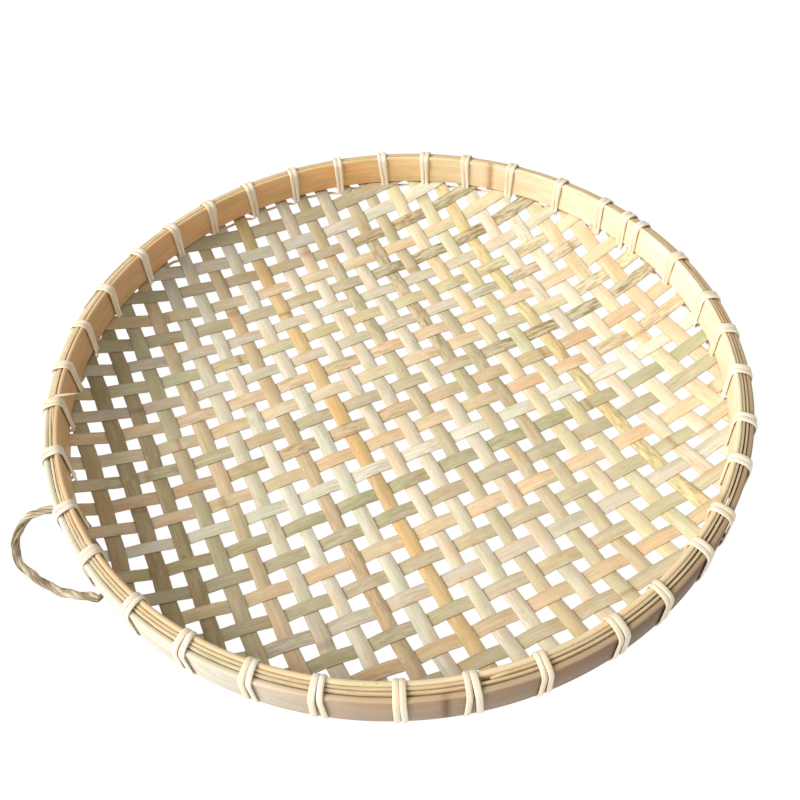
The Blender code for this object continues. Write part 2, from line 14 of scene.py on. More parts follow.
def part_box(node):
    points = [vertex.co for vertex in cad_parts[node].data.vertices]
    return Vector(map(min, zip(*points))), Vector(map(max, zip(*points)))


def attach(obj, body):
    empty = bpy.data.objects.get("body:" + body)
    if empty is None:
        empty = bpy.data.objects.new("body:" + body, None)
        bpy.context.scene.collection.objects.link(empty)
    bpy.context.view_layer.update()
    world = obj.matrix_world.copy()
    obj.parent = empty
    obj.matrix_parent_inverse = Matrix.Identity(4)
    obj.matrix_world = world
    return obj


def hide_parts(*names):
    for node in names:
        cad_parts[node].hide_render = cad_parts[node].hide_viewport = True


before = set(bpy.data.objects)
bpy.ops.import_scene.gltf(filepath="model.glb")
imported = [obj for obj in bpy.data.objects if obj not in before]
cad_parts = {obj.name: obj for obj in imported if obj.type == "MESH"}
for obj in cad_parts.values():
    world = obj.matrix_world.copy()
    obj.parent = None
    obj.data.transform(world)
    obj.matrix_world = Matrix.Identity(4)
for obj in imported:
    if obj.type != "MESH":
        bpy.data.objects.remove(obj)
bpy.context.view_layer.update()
dice = random.Random(7)

MM = 0.001

# Points round one ring of a swept strip
HOOP_POINTS = 20
STRIP_POINTS = 12
TAIL_POINTS = 8
HAIR_POINTS = 5
SHARP_ANGLE = radians(50)  # from which an edge of a strip is shaded as an edge

# Rim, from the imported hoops
hoop_low, hoop_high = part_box("outer_hoop")
inner_low, inner_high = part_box("inner_hoop")
RIM_RADIUS = hoop_high.x
RIM_BOTTOM = hoop_low.z
RIM_TOP = hoop_high.z
INNER_OUTSIDE = inner_high.x
INNER_BOTTOM = inner_low.z
INNER_TOP = inner_high.z
OUTER_THICKNESS = 3.5 * MM
INNER_THICKNESS = 3.2 * MM
OUTER_INSIDE = RIM_RADIUS - OUTER_THICKNESS
INNER_INSIDE = INNER_OUTSIDE - INNER_THICKNESS
HOOP_ROUNDING = 1.5 * MM  # of the hoops' four long edges
OUTER_SCARF = (radians(140), 90 * MM)  # where the lapped ends begin, and their length
INNER_SCARF = (radians(40), 120 * MM)
SCARF_TIP = 0.6 * MM
SCARF_GAP = 0.3 * MM
RIM_STEP = 3.5 * MM  # between rings along the hoops and fillers
HOOP_JOINT_REACH = 3.5 * MM  # to each side of a joint of the bamboo

# Fillers in the top of the slot, where they lean and sink as in the photograph. Each entry is an azimuth in
# degrees, and in millimetres the gap to the filler's own hoop, its thickness and how far its top has sunk
filler_low, filler_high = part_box("outer_filler")
OUTER_FILLER_LIE = ((0, 0.10, 1.50, 0), (150, 0.10, 1.45, 0), (183, 0.10, 1.45, 0),
                    (190, 0.92, 1.45, 0.4), (200, 0.80, 1.50, 0.4), (206, 0.45, 1.70, 0.3),
                    (212, 0.15, 1.75, 0.1), (235, 0.22, 1.70, 0), (270, 0.38, 1.50, 0),
                    (300, 0.12, 1.50, 0), (330, 0.10, 1.45, 0), (360, 0.10, 1.50, 0))
INNER_FILLER_LIE = ((0, 0.15, 1.50, 0), (150, 0.50, 1.45, 0), (184, 0.50, 1.45, 0),
                    (191, 0.08, 1.40, 2.2), (204, 0.08, 1.50, 1.8), (212, 0.12, 1.70, 0),
                    (235, 0.12, 1.70, 0), (270, 0.12, 1.50, 0), (330, 0.12, 1.45, 0),
                    (360, 0.15, 1.50, 0))
FILLER_END_GAP = 5 * MM
FILLER_END_DROP = 2.2 * MM  # of the worn corners at its two ends
FILLER_END_LENGTH = 6 * MM
FILLER_ROUNDING = 0.4 * MM
FILLER_STAIN = 0.3
FILLER_HEIGHT = filler_high.z - filler_low.z
OUTER_FILLER_TOP = filler_high.z
INNER_FILLER_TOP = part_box("inner_filler")[1].z
OUTER_FILLER_SEAM = radians(18)
INNER_FILLER_SEAM = radians(279)

# Mat
WEAVE_ANGLE = radians(22.1)  # of the across axis of the warp from +X
WARP_PITCH = 18.0 * MM
WEFT_PITCH = 18.6 * MM
WARP_SHIFT = -2.8 * MM
WEFT_SHIFT = -6.2 * MM
SPLINT_WIDTH = 10.1 * MM
SPLINT_THICKNESS = 0.7 * MM
SPLINT_ROUNDING = 0.3 * MM
SPLINT_CROWN = 0.10 * MM  # how far the edges bend down below the middle
SPLINT_STEP = 2.4 * MM
SPLINT_UNLIKE = 0.05  # share by which a splint's own width differs at most
TONE_RANGE = (0.95, 1.04)
JOINT_RANGE = (-0.22, 0.22)  # of a splint's one joint from its middle, in metres
STAIN_FADE = 1.6  # length of a stain with its fading ends, in half lengths
SPLINT_PLAY = 0.4 * MM  # of a splint's middle to either side
SPLINT_LEAN = radians(0.2)
BOW_LENGTH = 60 * MM  # of a splint's slow waves to either side
WAVE_LENGTH = 11 * MM  # of each edge's own short waves
SPLINT_JOINT_REACH = 2.5 * MM
JOINT_SHARE = 0.6  # how strongly a joint shows on a splint
JOINT_SWELL = 0.25  # how much thicker a splint is there, as a share
SLANT_LENGTH = 5 * MM  # of a splint's shorter edge, where its rings turn with the rim
WEAVE_LIFT = 0.46 * MM  # of a splint's middle over or under the mat's middle surface
CROSSING_FLAT = 3.6 * MM  # half the level stretch where two splints cross
MAT_MIDDLE = 0.96 * MM
FLAT_RADIUS = 70 * MM
DISH_POWER = 3.3
FOOT_RADIUS = RIM_RADIUS - 9.6 * MM
FOOT_HEIGHT = INNER_BOTTOM - 1.3 * MM
TIP_HEIGHT = 39 * MM
WARP_END_RADIUS = OUTER_INSIDE - 1.0 * MM
WEFT_END_RADIUS = INNER_OUTSIDE + 1.0 * MM
BEND_DROP = 0.7 * MM  # of the weft's bend below the inner hoop
BEND_LAYER = 1.5 * MM  # of the warp's bend below the weft's
BEND_START = 0.35  # share of the way to the corner where a bend begins
BEND_END = 0.28  # share of the way up from it where the bend ends
OUTERMOST_INSET = 9.8 * MM  # of the last splints from the foot of the rim
# In millimetres: a splint's slow and short waves, and how its width changes with its place on the mat
SPLINT_BOW = 0.35
EDGE_WAVE = 0.15
MIDDLE_EXTRA = 0.25
RIM_LOSS = 0.5
RIGHT_EXTRA = 0.1
BACK_EXTRA = 0.25
NARROW_LOSS = 1.2
NARROW_PLACE = (-0.3, -0.52)  # of the narrowest spot and its size, as shares of FOOT_RADIUS
NARROW_SIZE = (0.60, 0.31)
# Painted shade: the mat's splints are darker beside the rim, where the rim shades the mat, most of all at
# this azimuth
RIM_SHADE_AZIMUTH = radians(140)
RIM_SHADE_SHARE = 0.20
RIM_SHADE_START = 0.62  # share of FOOT_RADIUS
RIM_SHADE_RAMP = 0.22
RIM_SHADE_FACING = 0.55  # cosine of the angle to that azimuth
RIM_SHADE_FACING_RAMP = 0.35

# Cane lashing
CANE_WIDTH = 3.8 * MM
CANE_THICKNESS = 1.3 * MM
CANE_ROUNDING = 1.5 * MM
CANE_WAIST = 2.8 * MM
CANE_GAP = 0.2 * MM
TURN_GAP = -0.3 * MM  # the two turns press into each other
TURN_SPREAD = 1.3 * MM  # of each turn at the outer hoop's lower edge
TOP_SPREAD = 0.3  # share of it at the outer hoop's upper edge
TIE_TOP_GAP = 1.0 * MM
TIE_BULGE = 0.6 * MM  # beyond the rim's two upper corners
CANE_BEND = 6.0 * MM  # length of the rounding before and after each bend
RUN_OFFSET = 8 * MM
RUN_INSET = 8 * MM
RUN_WIDTH = 3.0 * MM
RUN_DROP = 0.5 * MM
PASS_INSET = 1.0 * MM
PASS_DROP = 1.0 * MM
TIE_LEAN = 2.0 * MM  # how far a tie may lean or sway along the rim
TIE_SWAY = 0.5 * MM
SPREAD_RANGE = (0.1, 1.5)  # as shares of TURN_SPREAD
WIDTH_RANGE = (0.82, 1.08)  # as shares of CANE_WIDTH
BEND_SHARE = 0.45  # most of a straight that one bend may take
LONG_STRAIGHT = 4 * MM  # from this length on a straight gets points of its own
TAIL_TIE = radians(185.5)  # the tie with the cane's loose end
TAIL_FLATNESS = 0.6  # its thickness as a share of its width
# That end in millimetres: inward from the inner hoop, along the rim, above the hoop, and its width
CANE_TAIL = ((-3, -4.6, 1.2, 2.2), (1, -4.8, 1.1, 2.1), (5, -5.2, 0.5, 1.7), (9, -6.0, -0.6, 1.0),
             (11, -6.6, -1.4, 0.4))
TIE_DEGREES = (1, 9, 20, 30.6, 34.3, 40, 50.5, 61.5, 71.5, 80.3, 89.7, 99.2, 109, 119, 128.5, 138,
               147, 157.5, 167, 177, 185.5, 195.6, 207, 217, 228, 237.7, 247.8, 257.3, 267.7, 277,
               286.7, 298, 306.4, 316, 323, 333, 341.5, 351.6)

# Hanging cord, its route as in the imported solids
CORD_DIAMETER = 5.4 * MM
CORD_RADIUS = CORD_DIAMETER / 2
CORD_GAP = 0.4 * MM
HINGE_GAP = 0.3 * MM
HINGE_RADIUS = RIM_RADIUS + CORD_GAP + CORD_RADIUS
HINGE_HEIGHT = RIM_BOTTOM - CORD_RADIUS + HINGE_GAP
ROOT_DROP = 6.1 * MM  # of the hidden stretch below the outer hoop
LOOP_START = radians(200.5)
LOOP_END = radians(219.5)
# In degrees and millimetres: azimuth, how far out from the hinge, height
LOOP_ROUTE = ((200.1, 4.6, 18.4), (199.2, 10.0, 14.8), (198.4, 15.8, 10.3), (198.1, 21.0, 6.4),
              (198.5, 25.5, 4.0), (199.7, 28.8, 3.0), (201.3, 31.0, 2.9), (203.1, 31.5, 2.9),
              (204.9, 30.0, 2.9), (207.1, 25.9, 2.9), (209.5, 20.7, 3.3), (212.1, 15.0, 5.9),
              (214.7, 9.0, 10.8), (217.1, 4.4, 15.8))
STRANDS = 3
STRAND_RADIUS = 1.5 * MM
STRAND_OFFSET = 1.2 * MM
CORD_TUCK = 3.2 * MM  # of the loop's thin ends in under the rim
TUCK_DROP = 0.8 * MM
CORD_PULL = 2.4 * MM
PULL_LENGTH = 30 * MM
LAY_LENGTH = 52 * MM  # of one full twist of the cord
LAY_STRAY = 0.35  # radians by which a strand strays from an even lay
STRAND_UNEVEN = 0.14  # share by which a strand's place, size and tone vary
THIN_END = 0.5  # a strand's share of its thickness where the cord ends
CORD_STEP = 1.2 * MM  # between rings along the cord
HAIRS = 26
HAIR_RADIUS = 0.11 * MM
HAIR_REACH = (0.9, 2.0)  # of a hair's end beyond the cord, in millimetres
HAIR_ROOT = 0.4 * MM  # how deep in the cord a hair starts
HAIR_LOWEST = 0.3 * MM
HAIR_CLEAR = (4, 14)  # rings of the cord at its start and end where no hair starts
HAIR_RINGS = (5, 9)
HAIR_TAPER = 0.6

# Camera, solved from the rim's outline in the photograph
FRAME_PIXELS = 800
FOCAL_PIXELS = 893.2
AXIS_PIXEL = (393.55, 357.77)  # where the optical axis meets the frame
CAMERA_DISTANCE = 582.6 * MM
CAMERA_ELEVATION = 0.8393  # in radians, as the roll
CAMERA_ROLL = -0.0692
CAMERA_TARGET = Vector((0, 0, 47.2 * MM))
SENSOR = 36

# Light
FLOOR_SIZE = 6
FLOOR_GLOW = 0.97
FILL_STRENGTH = 0.52
KEY_STRENGTH = 3.55
KEY_SPREAD = radians(40)
KEY_AZIMUTH = radians(200)
KEY_ELEVATION = radians(37)
KEY_COLOUR = (1, 0.985, 0.96)


def srgb(code):
    """Linear colour of an sRGB hex value."""
    values = [int(code[place:place + 2], 16) / 255 for place in (1, 3, 5)]
    return (*(v / 12.92 if v <= 0.04045 else ((v + 0.055) / 1.055) ** 2.4 for v in values), 1)


def add(tree, kind, settings=None, inputs=None):
    """Adds a node with its properties, ramp stops and inputs, and links what is given as node or output."""
    node = tree.nodes.new(kind)
    for name, value in (settings or {}).items():
        if name == "stops":
            while len(node.color_ramp.elements) < len(value):
                node.color_ramp.elements.new(0.5)
            for element, (place, shade) in zip(node.color_ramp.elements, value):
                element.position = place
                element.color = srgb(shade) if isinstance(shade, str) else (shade, shade, shade, 1)
        else:
            setattr(node, name, value)
    for key, value in (inputs or {}).items():
        if isinstance(key, str):
            socket = next(s for s in node.inputs if s.enabled and s.name == key)
        else:
            socket = node.inputs[key]
        if isinstance(value, bpy.types.Node):
            value = next(s for s in value.outputs if s.enabled)
        if isinstance(value, bpy.types.NodeSocket):
            tree.links.new(value, socket)
        else:
            socket.default_value = value
    return node


def in_scene(name, data):
    """A new object, linked to the scene."""
    thing = bpy.data.objects.new(name, data)
    bpy.context.scene.collection.objects.link(thing)
    return thing


def on_circle(radius, angle, height):
    return Vector((radius * cos(angle), radius * sin(angle), height))


def smoothstep(share):
    share = min(1, max(0, share))
    return share * share * (3 - 2 * share)


def wander(place, seed):
    """Smooth random value from -1 to 1 that changes along a piece."""
    return noise.noise(Vector((place, seed * 7.31, 0.5)))


def varied(share, length, along, seed):
    """A factor that strays from 1 by up to such a share, over about such a length."""
    return 1 + share * wander(along / length, seed)


def blotched(least, more, length, along, seed):
    """Strength of the stain along a strip: some everywhere, and more in places."""
    return least + more * max(0, wander(along / length, seed))


def distances(points):
    """How far along their route the points lie."""
    along = [0]
    for here, following in zip(points, points[1:]):
        along.append(along[-1] + (following - here).length)
    return along


def spans(points):
    """At each point the way from the point before it to the point after it."""
    ends = [points[0], *points, points[-1]]
    return [after - before for before, after in zip(ends, ends[2:])]


# The sweep: a ring of points carried along a route

def sweep_tree():
    """A strip with rounded corners along a route, whose points hold the strip's place, size and colour."""
    tree = bpy.data.node_groups.new("Swept strip", "GeometryNodeTree")
    tree.interface.new_socket("Route", in_out="INPUT", socket_type="NodeSocketGeometry")
    tree.interface.new_socket("Ring points", in_out="INPUT", socket_type="NodeSocketInt")
    for name in ("Rounding", "Crown"):
        tree.interface.new_socket(name, in_out="INPUT", socket_type="NodeSocketFloat")
    tree.interface.new_socket("Finish", in_out="INPUT", socket_type="NodeSocketMaterial")
    tree.interface.new_socket("Strip", in_out="OUTPUT", socket_type="NodeSocketGeometry")
    given = tree.nodes.new("NodeGroupInput").outputs

    circle = add(tree, "GeometryNodeCurvePrimitiveCircle", {"mode": "RADIUS"},
                 {"Resolution": given["Ring points"], "Radius": 1.0})
    spot = add(tree, "ShaderNodeSeparateXYZ", None, {"Vector": add(tree, "GeometryNodeInputPosition")})
    ring = circle.outputs["Curve"]
    for axis, name in (("X", "ring_across"), ("Y", "ring_through")):
        ring = add(tree, "GeometryNodeStoreNamedAttribute", {"data_type": "FLOAT", "domain": "POINT"},
                   {"Geometry": ring, "Name": name, "Value": spot.outputs[axis]})
    route = add(tree, "GeometryNodeMeshToCurve", None, {"Mesh": given["Route"]})
    swept = add(tree, "GeometryNodeCurveToMesh", None,
                {"Curve": route, "Profile Curve": ring, "Fill Caps": True})

    # Where each ring point lies across and through the strip: a straight part and a rounded corner
    offsets = []
    for name, half in (("ring_across", "half_width"), ("ring_through", "half_thickness")):
        turn = add(tree, "GeometryNodeInputNamedAttribute", {"data_type": "FLOAT"}, {"Name": name})
        size = add(tree, "GeometryNodeInputNamedAttribute", {"data_type": "FLOAT"}, {"Name": half})
        corner = add(tree, "ShaderNodeMath", {"operation": "MINIMUM"}, {0: given["Rounding"], 1: size})
        straight = add(tree, "ShaderNodeMath", {"operation": "SUBTRACT"}, {0: size, 1: corner})
        tenfold = add(tree, "ShaderNodeMath", {"operation": "MULTIPLY"}, {0: turn, 1: 10.0})
        whole = add(tree, "ShaderNodeMath", {"operation": "TRUNC"}, {0: tenfold})
        side = add(tree, "ShaderNodeMath", {"operation": "SIGN"}, {0: whole})
        flat = add(tree, "ShaderNodeMath", {"operation": "MULTIPLY"}, {0: side, 1: straight})
        offsets.append(add(tree, "ShaderNodeMath", {"operation": "MULTIPLY_ADD"},
                           {0: turn, 1: corner, 2: flat}))
    across, through = offsets
    width = add(tree, "GeometryNodeInputNamedAttribute", {"data_type": "FLOAT"}, {"Name": "half_width"})
    share = add(tree, "ShaderNodeMath", {"operation": "DIVIDE"}, {0: across, 1: width})
    edge = add(tree, "ShaderNodeMath", {"operation": "ABSOLUTE"}, {0: share})
    bowed = add(tree, "ShaderNodeMath", {"operation": "POWER"}, {0: edge, 1: 2.0})
    dip = add(tree, "ShaderNodeMath", {"operation": "MULTIPLY"}, {0: bowed, 1: given["Crown"]})
    height = add(tree, "ShaderNodeMath", {"operation": "SUBTRACT"}, {0: through, 1: dip})

    place = add(tree, "GeometryNodeInputNamedAttribute", {"data_type": "FLOAT_VECTOR"}, {"Name": "centre"})
    for name, reach in (("side", across), ("up", height)):
        way = add(tree, "GeometryNodeInputNamedAttribute", {"data_type": "FLOAT_VECTOR"}, {"Name": name})
        step = add(tree, "ShaderNodeVectorMath", {"operation": "SCALE"}, {0: way, "Scale": reach})
        place = add(tree, "ShaderNodeVectorMath", {"operation": "ADD"}, {0: place, 1: step})
    strip = add(tree, "GeometryNodeSetPosition", None, {"Geometry": swept, "Position": place})
    marked = strip
    for name, value in (("across", across), ("through", through), ("edge", edge)):
        marked = add(tree, "GeometryNodeStoreNamedAttribute", {"data_type": "FLOAT", "domain": "POINT"},
                     {"Geometry": marked, "Name": name, "Value": value})
    solid = add(tree, "GeometryNodeRealizeInstances", None, {"Geometry": marked})
    done = add(tree, "GeometryNodeSetMaterial", None, {"Geometry": solid, "Material": given["Finish"]})
    tree.links.new(done.outputs[0], tree.nodes.new("NodeGroupOutput").inputs["Strip"])
    return tree


class Ring:
    """One ring of a strip: its place, its two directions and half sizes, and what its material reads."""

    def __init__(self, centre, side, up, width, thickness, along, tone, stain=0.0, joint=0.0):
        self.centre = centre
        self.side = side
        self.up = up
        self.half_width = width / 2
        self.half_thickness = thickness / 2
        self.along = along
        self.tone = (*tone, 1)
        self.stain = stain
        self.joint = joint


ROUTE_VECTORS = ("centre", "side", "up")
ROUTE_VALUES = ("half_width", "half_thickness", "along", "stain", "joint")


def swept_mesh(name, rings, finish, ring_points, rounding, crown=0.0):
    """Plain closed mesh of one strip."""
    route = bpy.data.meshes.new(name + "_route")
    route.from_pydata([ring.centre for ring in rings], [(n, n + 1) for n in range(len(rings) - 1)], [])
    for key in ROUTE_VECTORS:
        values = [component for ring in rings for component in getattr(ring, key)]
        route.attributes.new(key, "FLOAT_VECTOR", "POINT").data.foreach_set("vector", values)
    for key in ROUTE_VALUES:
        values = [getattr(ring, key) for ring in rings]
        route.attributes.new(key, "FLOAT", "POINT").data.foreach_set("value", values)
    tones = [component for ring in rings for component in ring.tone]
    route.attributes.new("tone", "FLOAT_COLOR", "POINT").data.foreach_set("color", tones)
    thing = in_scene(name + "_route", route)
    sweep = thing.modifiers.new("Sweep", "NODES")
    sweep.node_group = SWEEP
    given = {"Ring points": ring_points, "Rounding": rounding, "Crown": crown, "Finish": finish}
    for item in SWEEP.interface.items_tree:
        if item.name in given:
            sweep[item.identifier] = given[item.name]
    graph = bpy.context.evaluated_depsgraph_get()
    mesh = bpy.data.meshes.new_from_object(thing.evaluated_get(graph), preserve_all_data_layers=True,
                                           depsgraph=graph)
    thing.modifiers.remove(sweep)
    bpy.data.objects.remove(thing)
    bpy.data.meshes.remove(route)
    for key in ("ring_across", "ring_through", "half_width", "half_thickness", "centre", "side", "up"):
        if key in mesh.attributes:
            mesh.attributes.remove(mesh.attributes[key])
    return mesh


def shown_piece(name, meshes, finish, body, slot, *nodes):
    """One piece from one or more swept meshes, riding on its body in place of the nodes it stands for."""
    form = bmesh.new()
    for mesh in meshes:
        form.from_mesh(mesh)
    bmesh.ops.recalc_face_normals(form, faces=form.faces)
    whole = bpy.data.meshes.new(name)
    form.to_mesh(whole)
    form.free()
    for mesh in meshes:
        bpy.data.meshes.remove(mesh)
    whole.materials.clear()
    whole.materials.append(finish)
    whole.shade_smooth()
    whole.set_sharp_from_angle(angle=SHARP_ANGLE)
    piece = in_scene(name, whole)
    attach(piece, body)
    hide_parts(*nodes)
    return piece


# Finishes

def new_finish(name):
    finish = bpy.data.materials.new(name)
    finish.use_nodes = True
    return finish, finish.node_tree, finish.node_tree.nodes["Principled BSDF"]


def strip_readings(tree):
    """What the sweep left on the surface: edge, stain and joint, and a grain that runs along the strip."""
    told = {name: add(tree, "ShaderNodeAttribute", {"attribute_name": name}).outputs["Fac"]
            for name in ("along", "across", "through", "edge", "stain", "joint")}
    told["grain"] = add(tree, "ShaderNodeCombineXYZ", None,
                        {"X": told["along"], "Y": told["across"], "Z": told["through"]})
    return told


def grain_patterns(tree, grain, patterns):
    """A noise for each pattern, stretched along the strip, and its shade from the pattern's own ramp.
    A pattern is its name, length along the strip, width across it, detail, seed and ramp stops."""
    noises = {}
    shades = {}
    for name, length, width, detail, seed, stops in patterns:
        spread = add(tree, "ShaderNodeVectorMath", {"operation": "MULTIPLY_ADD"},
                     {0: grain, 1: (1 / length, 1 / width, 1 / width), 2: (seed, seed * 2, seed * 3)})
        pattern = add(tree, "ShaderNodeTexNoise", None,
                      {"Vector": spread, "Scale": 1.0, "Detail": detail, "Roughness": 0.6})
        noises[name] = pattern.outputs["Fac"]
        shades[name] = add(tree, "ShaderNodeValToRGB", {"stops": stops}, {"Fac": noises[name]})
    return noises, shades


def lay_finish(tree, shader, layers, values, height, strength, relief):
    """Mixes the layers over the strip's colour, sets the shader's own values and adds the fine relief.
    A layer is its blend, its share and its colour."""
    colour = add(tree, "ShaderNodeAttribute", {"attribute_name": "tone"}).outputs["Color"]
    for blend, share, layer in layers:
        colour = add(tree, "ShaderNodeMix", {"data_type": "RGBA", "blend_type": blend},
                     {0: share, 6: colour, 7: layer}).outputs[2]
    tree.links.new(colour, shader.inputs["Base Color"])
    for name, value in values.items():
        shader.inputs[name].default_value = value
    bump = add(tree, "ShaderNodeBump", None, {"Strength": strength, "Distance": relief, "Height": height})
    tree.links.new(bump.outputs[0], shader.inputs["Normal"])


def split_bamboo(name, fibre, mottle_colour, edge_colour, edge_share, edge_start, roughness, relief):
    """Split bamboo, dried in the air: straight fibres, a hue that drifts between green straw, tan and rose,
    grey-brown mottles where mould stained the skin, small brown specks, and a tint towards the edges:
    dark on the mat's splints, where it is painted shade round the holes, and pale on the hoops and fillers.
    It looks dry and matte, a little silky along the fibres. Fibres are drawn about twice their real width."""
    finish, tree, shader = new_finish(name)
    told = strip_readings(tree)
    noises, shades = grain_patterns(tree, told["grain"], (
        ("fibres", 60 * MM, fibre, 2.0, 3.7, ((0.28, 0.86), (0.50, 0.97), (0.72, 1.04))),
        ("bands", 90 * MM, 2.6 * MM, 1.0, 31.3, ((0.30, 0.93), (0.70, 1.03))),
        ("drift", 46 * MM, 14 * MM, 1.5, 11.3, ((0.34, "#f1f5e6"), (0.50, "#fffefa"), (0.66, "#fff1de"))),
        ("mottles", 11 * MM, 2.0 * MM, 4.0, 5.1, ((0.44, 0.0), (0.60, 1.0))),
        ("clouds", 26 * MM, 9 * MM, 1.0, 23.9, ((0.52, 0.0), (0.64, 1.0))),
        ("specks", 1.7 * MM, 0.9 * MM, 1.0, 17.9, ((0.64, 0.0), (0.74, 0.7)))))
    mottled = add(tree, "ShaderNodeMath", {"operation": "MULTIPLY"}, {0: told["stain"], 1: shades["mottles"]})
    specked = add(tree, "ShaderNodeMath", {"operation": "MULTIPLY"},
                  {0: shades["specks"], 1: shades["clouds"]})
    # Tint towards the strip's edges; on the mat's splints it is dark, painted shade round the holes
    edge = add(tree, "ShaderNodeValToRGB", {"stops": ((edge_start, 0.0), (0.99, edge_share))},
               {"Fac": told["edge"]})
    lay_finish(tree, shader, (
        ("MULTIPLY", 1.0, shades["fibres"]), ("MULTIPLY", 1.0, shades["bands"]),
        ("MULTIPLY", 1.0, shades["drift"]), ("MIX", mottled, srgb(mottle_colour)),
        ("MIX", specked, srgb("#8a6a42")), ("MULTIPLY", told["joint"], srgb("#b98a66")),
        ("MIX", edge, srgb(edge_colour))),
        {"Roughness": roughness, "IOR": 1.4, "Specular IOR Level": 0.25}, noises["fibres"], 0.5, relief)
    return finish


def peeled_cane():
    """Peeled cane, wound wet and dried tight: ivory, smooth and faintly glossy, with fine pale fibres."""
    finish, tree, shader = new_finish("peeled_ivory_cane")
    noises, shades = grain_patterns(tree, strip_readings(tree)["grain"], (
        ("fibres", 22 * MM, 0.6 * MM, 2.0, 3.1, ((0.28, "#e0d3ba"), (0.60, "#f9f1e0"))),
        ("warmth", 30 * MM, 6 * MM, 1.0, 9.7, ((0.35, "#ffffff"), (0.65, "#fdf1de")))))
    lay_finish(tree, shader, (("MULTIPLY", 1.0, shades["fibres"]), ("MULTIPLY", 1.0, shades["warmth"])),
               {"Roughness": 0.42, "IOR": 1.5}, noises["fibres"], 0.4, 0.12 * MM)
    return finish


def plant_twine():
    """Hand-twisted plant fibre: dull and hairy, each strand streaked tan to grey-brown along its length."""
    finish, tree, shader = new_finish("twisted_plant_fibre")
    noises, shades = grain_patterns(tree, strip_readings(tree)["grain"], (
        ("fibres", 13 * MM, 0.45 * MM, 3.0, 3.1, ((0.32, "#5d4f3c"), (0.48, "#b3a283"), (0.64, "#ece2cc"))),
        ("drift", 16 * MM, 4 * MM, 1.0, 9.7, ((0.35, "#b9ad9c"), (0.60, "#ffffff")))))
    lay_finish(tree, shader, (("MULTIPLY", 1.0, shades["fibres"]), ("MULTIPLY", 1.0, shades["drift"])),
               {"Roughness": 0.85}, noises["fibres"], 0.8, 0.3 * MM)
    return finish


# Camera

def place_camera():
    """The photograph's own viewpoint, with its small roll and off-centre framing."""
    data = bpy.data.cameras.new("photo_camera")
    data.sensor_width = SENSOR
    data.lens = SENSOR * FOCAL_PIXELS / FRAME_PIXELS
    data.shift_x = (FRAME_PIXELS / 2 - AXIS_PIXEL[0]) / FRAME_PIXELS
    data.shift_y = (AXIS_PIXEL[1] - FRAME_PIXELS / 2) / FRAME_PIXELS
    away = Vector((0, -cos(CAMERA_ELEVATION), sin(CAMERA_ELEVATION)))
    right = Vector((1, 0, 0))
    upward = away.cross(right)
    rolled_right = right * cos(CAMERA_ROLL) + upward * sin(CAMERA_ROLL)
    rolled_up = upward * cos(CAMERA_ROLL) - right * sin(CAMERA_ROLL)
    camera = in_scene("photo_camera", data)
    turn = Matrix((rolled_right, rolled_up, away)).transposed()
    camera.matrix_world = Matrix.Translation(CAMERA_TARGET + away * CAMERA_DISTANCE) @ turn.to_4x4()
    bpy.context.scene.camera = camera


# Cord

def smooth_route(points, spacing):
    """Points about so far apart on a Catmull-Rom curve through the given ones."""
    padded = [2 * points[0] - points[1]] + points + [2 * points[-1] - points[-2]]
    route = [points[0]]
    for number in range(1, len(padded) - 2):
        before, start, end, after = padded[number - 1:number + 3]
        pieces = max(2, ceil((end - start).length / spacing))
        for piece in range(1, pieces + 1):
            t = piece / pieces
            route.append(0.5 * (2 * start + (end - before) * t
                                + (2 * before - 5 * start + 4 * end - after) * t * t
                                + (3 * start - before - 3 * end + after) * t * t * t))
    return route


def carried_frames(route):
    """Heading, side and up directions carried along the route without twisting."""
    frames = []
    side = (route[1] - route[0]).cross(Vector((0, 0, 1))).normalized()
    for span in spans(route):
        heading = span.normalized()
        side = (side - heading * side.dot(heading)).normalized()
        frames.append((heading, side, heading.cross(side)))
    return frames


def strand_rings(route, frames, strand):
    """One strand of the cord, laid round the route and thinner where the cord ends."""
    rings = []
    places = distances(route)
    for along, point, (heading, side, up) in zip(places, route, frames):
        turn = (2 * pi * (along / LAY_LENGTH + strand / STRANDS)
                + LAY_STRAY * wander(along / (14 * MM), strand + 8))
        end = min(along, places[-1] - along) / CORD_DIAMETER
        full = THIN_END + (1 - THIN_END) * smoothstep(end + 0.2)
        out = side * cos(turn) + up * sin(turn)
        centre = point + out * STRAND_OFFSET * full * varied(STRAND_UNEVEN, 9 * MM, along, strand)
        size = 2 * STRAND_RADIUS * full * varied(STRAND_UNEVEN, 7 * MM, along, strand + 4)
        shade = varied(STRAND_UNEVEN, 12 * MM, along, strand + 20)
        rings.append(Ring(centre, out, heading.cross(out), size, size, along + strand, (shade, shade, shade)))
    return rings


def hair_rings(route, frames):
    """One loose fibre that stands off the cord for a few millimetres."""
    first = dice.randrange(HAIR_CLEAR[0], len(route) - HAIR_CLEAR[1])
    count = dice.randrange(*HAIR_RINGS)
    turn = dice.uniform(0, 2 * pi)
    reach = dice.uniform(*HAIR_REACH) * MM
    rings = []
    for step in range(count):
        heading, side, up = frames[first + step]
        share = step / (count - 1)
        out = side * cos(turn + share) + up * sin(turn + share)
        centre = route[first + step] + out * (CORD_RADIUS - HAIR_ROOT + reach * share * share)
        centre.z = max(centre.z, HAIR_LOWEST)
        size = 2 * HAIR_RADIUS * (1 - HAIR_TAPER * share)
        rings.append(Ring(centre, out, heading.cross(out), size, size, first + step * MM, (1, 1, 1)))
    return rings


def drawn_in(route):
    """The route with its last stretch drawn a little towards its start, along the line through both ends."""
    pull = (route[0] - route[-1]).normalized() * CORD_PULL
    places = distances(route)
    return [point + pull * smoothstep(1 - (places[-1] - along) / PULL_LENGTH)
            for along, point in zip(places, route)]


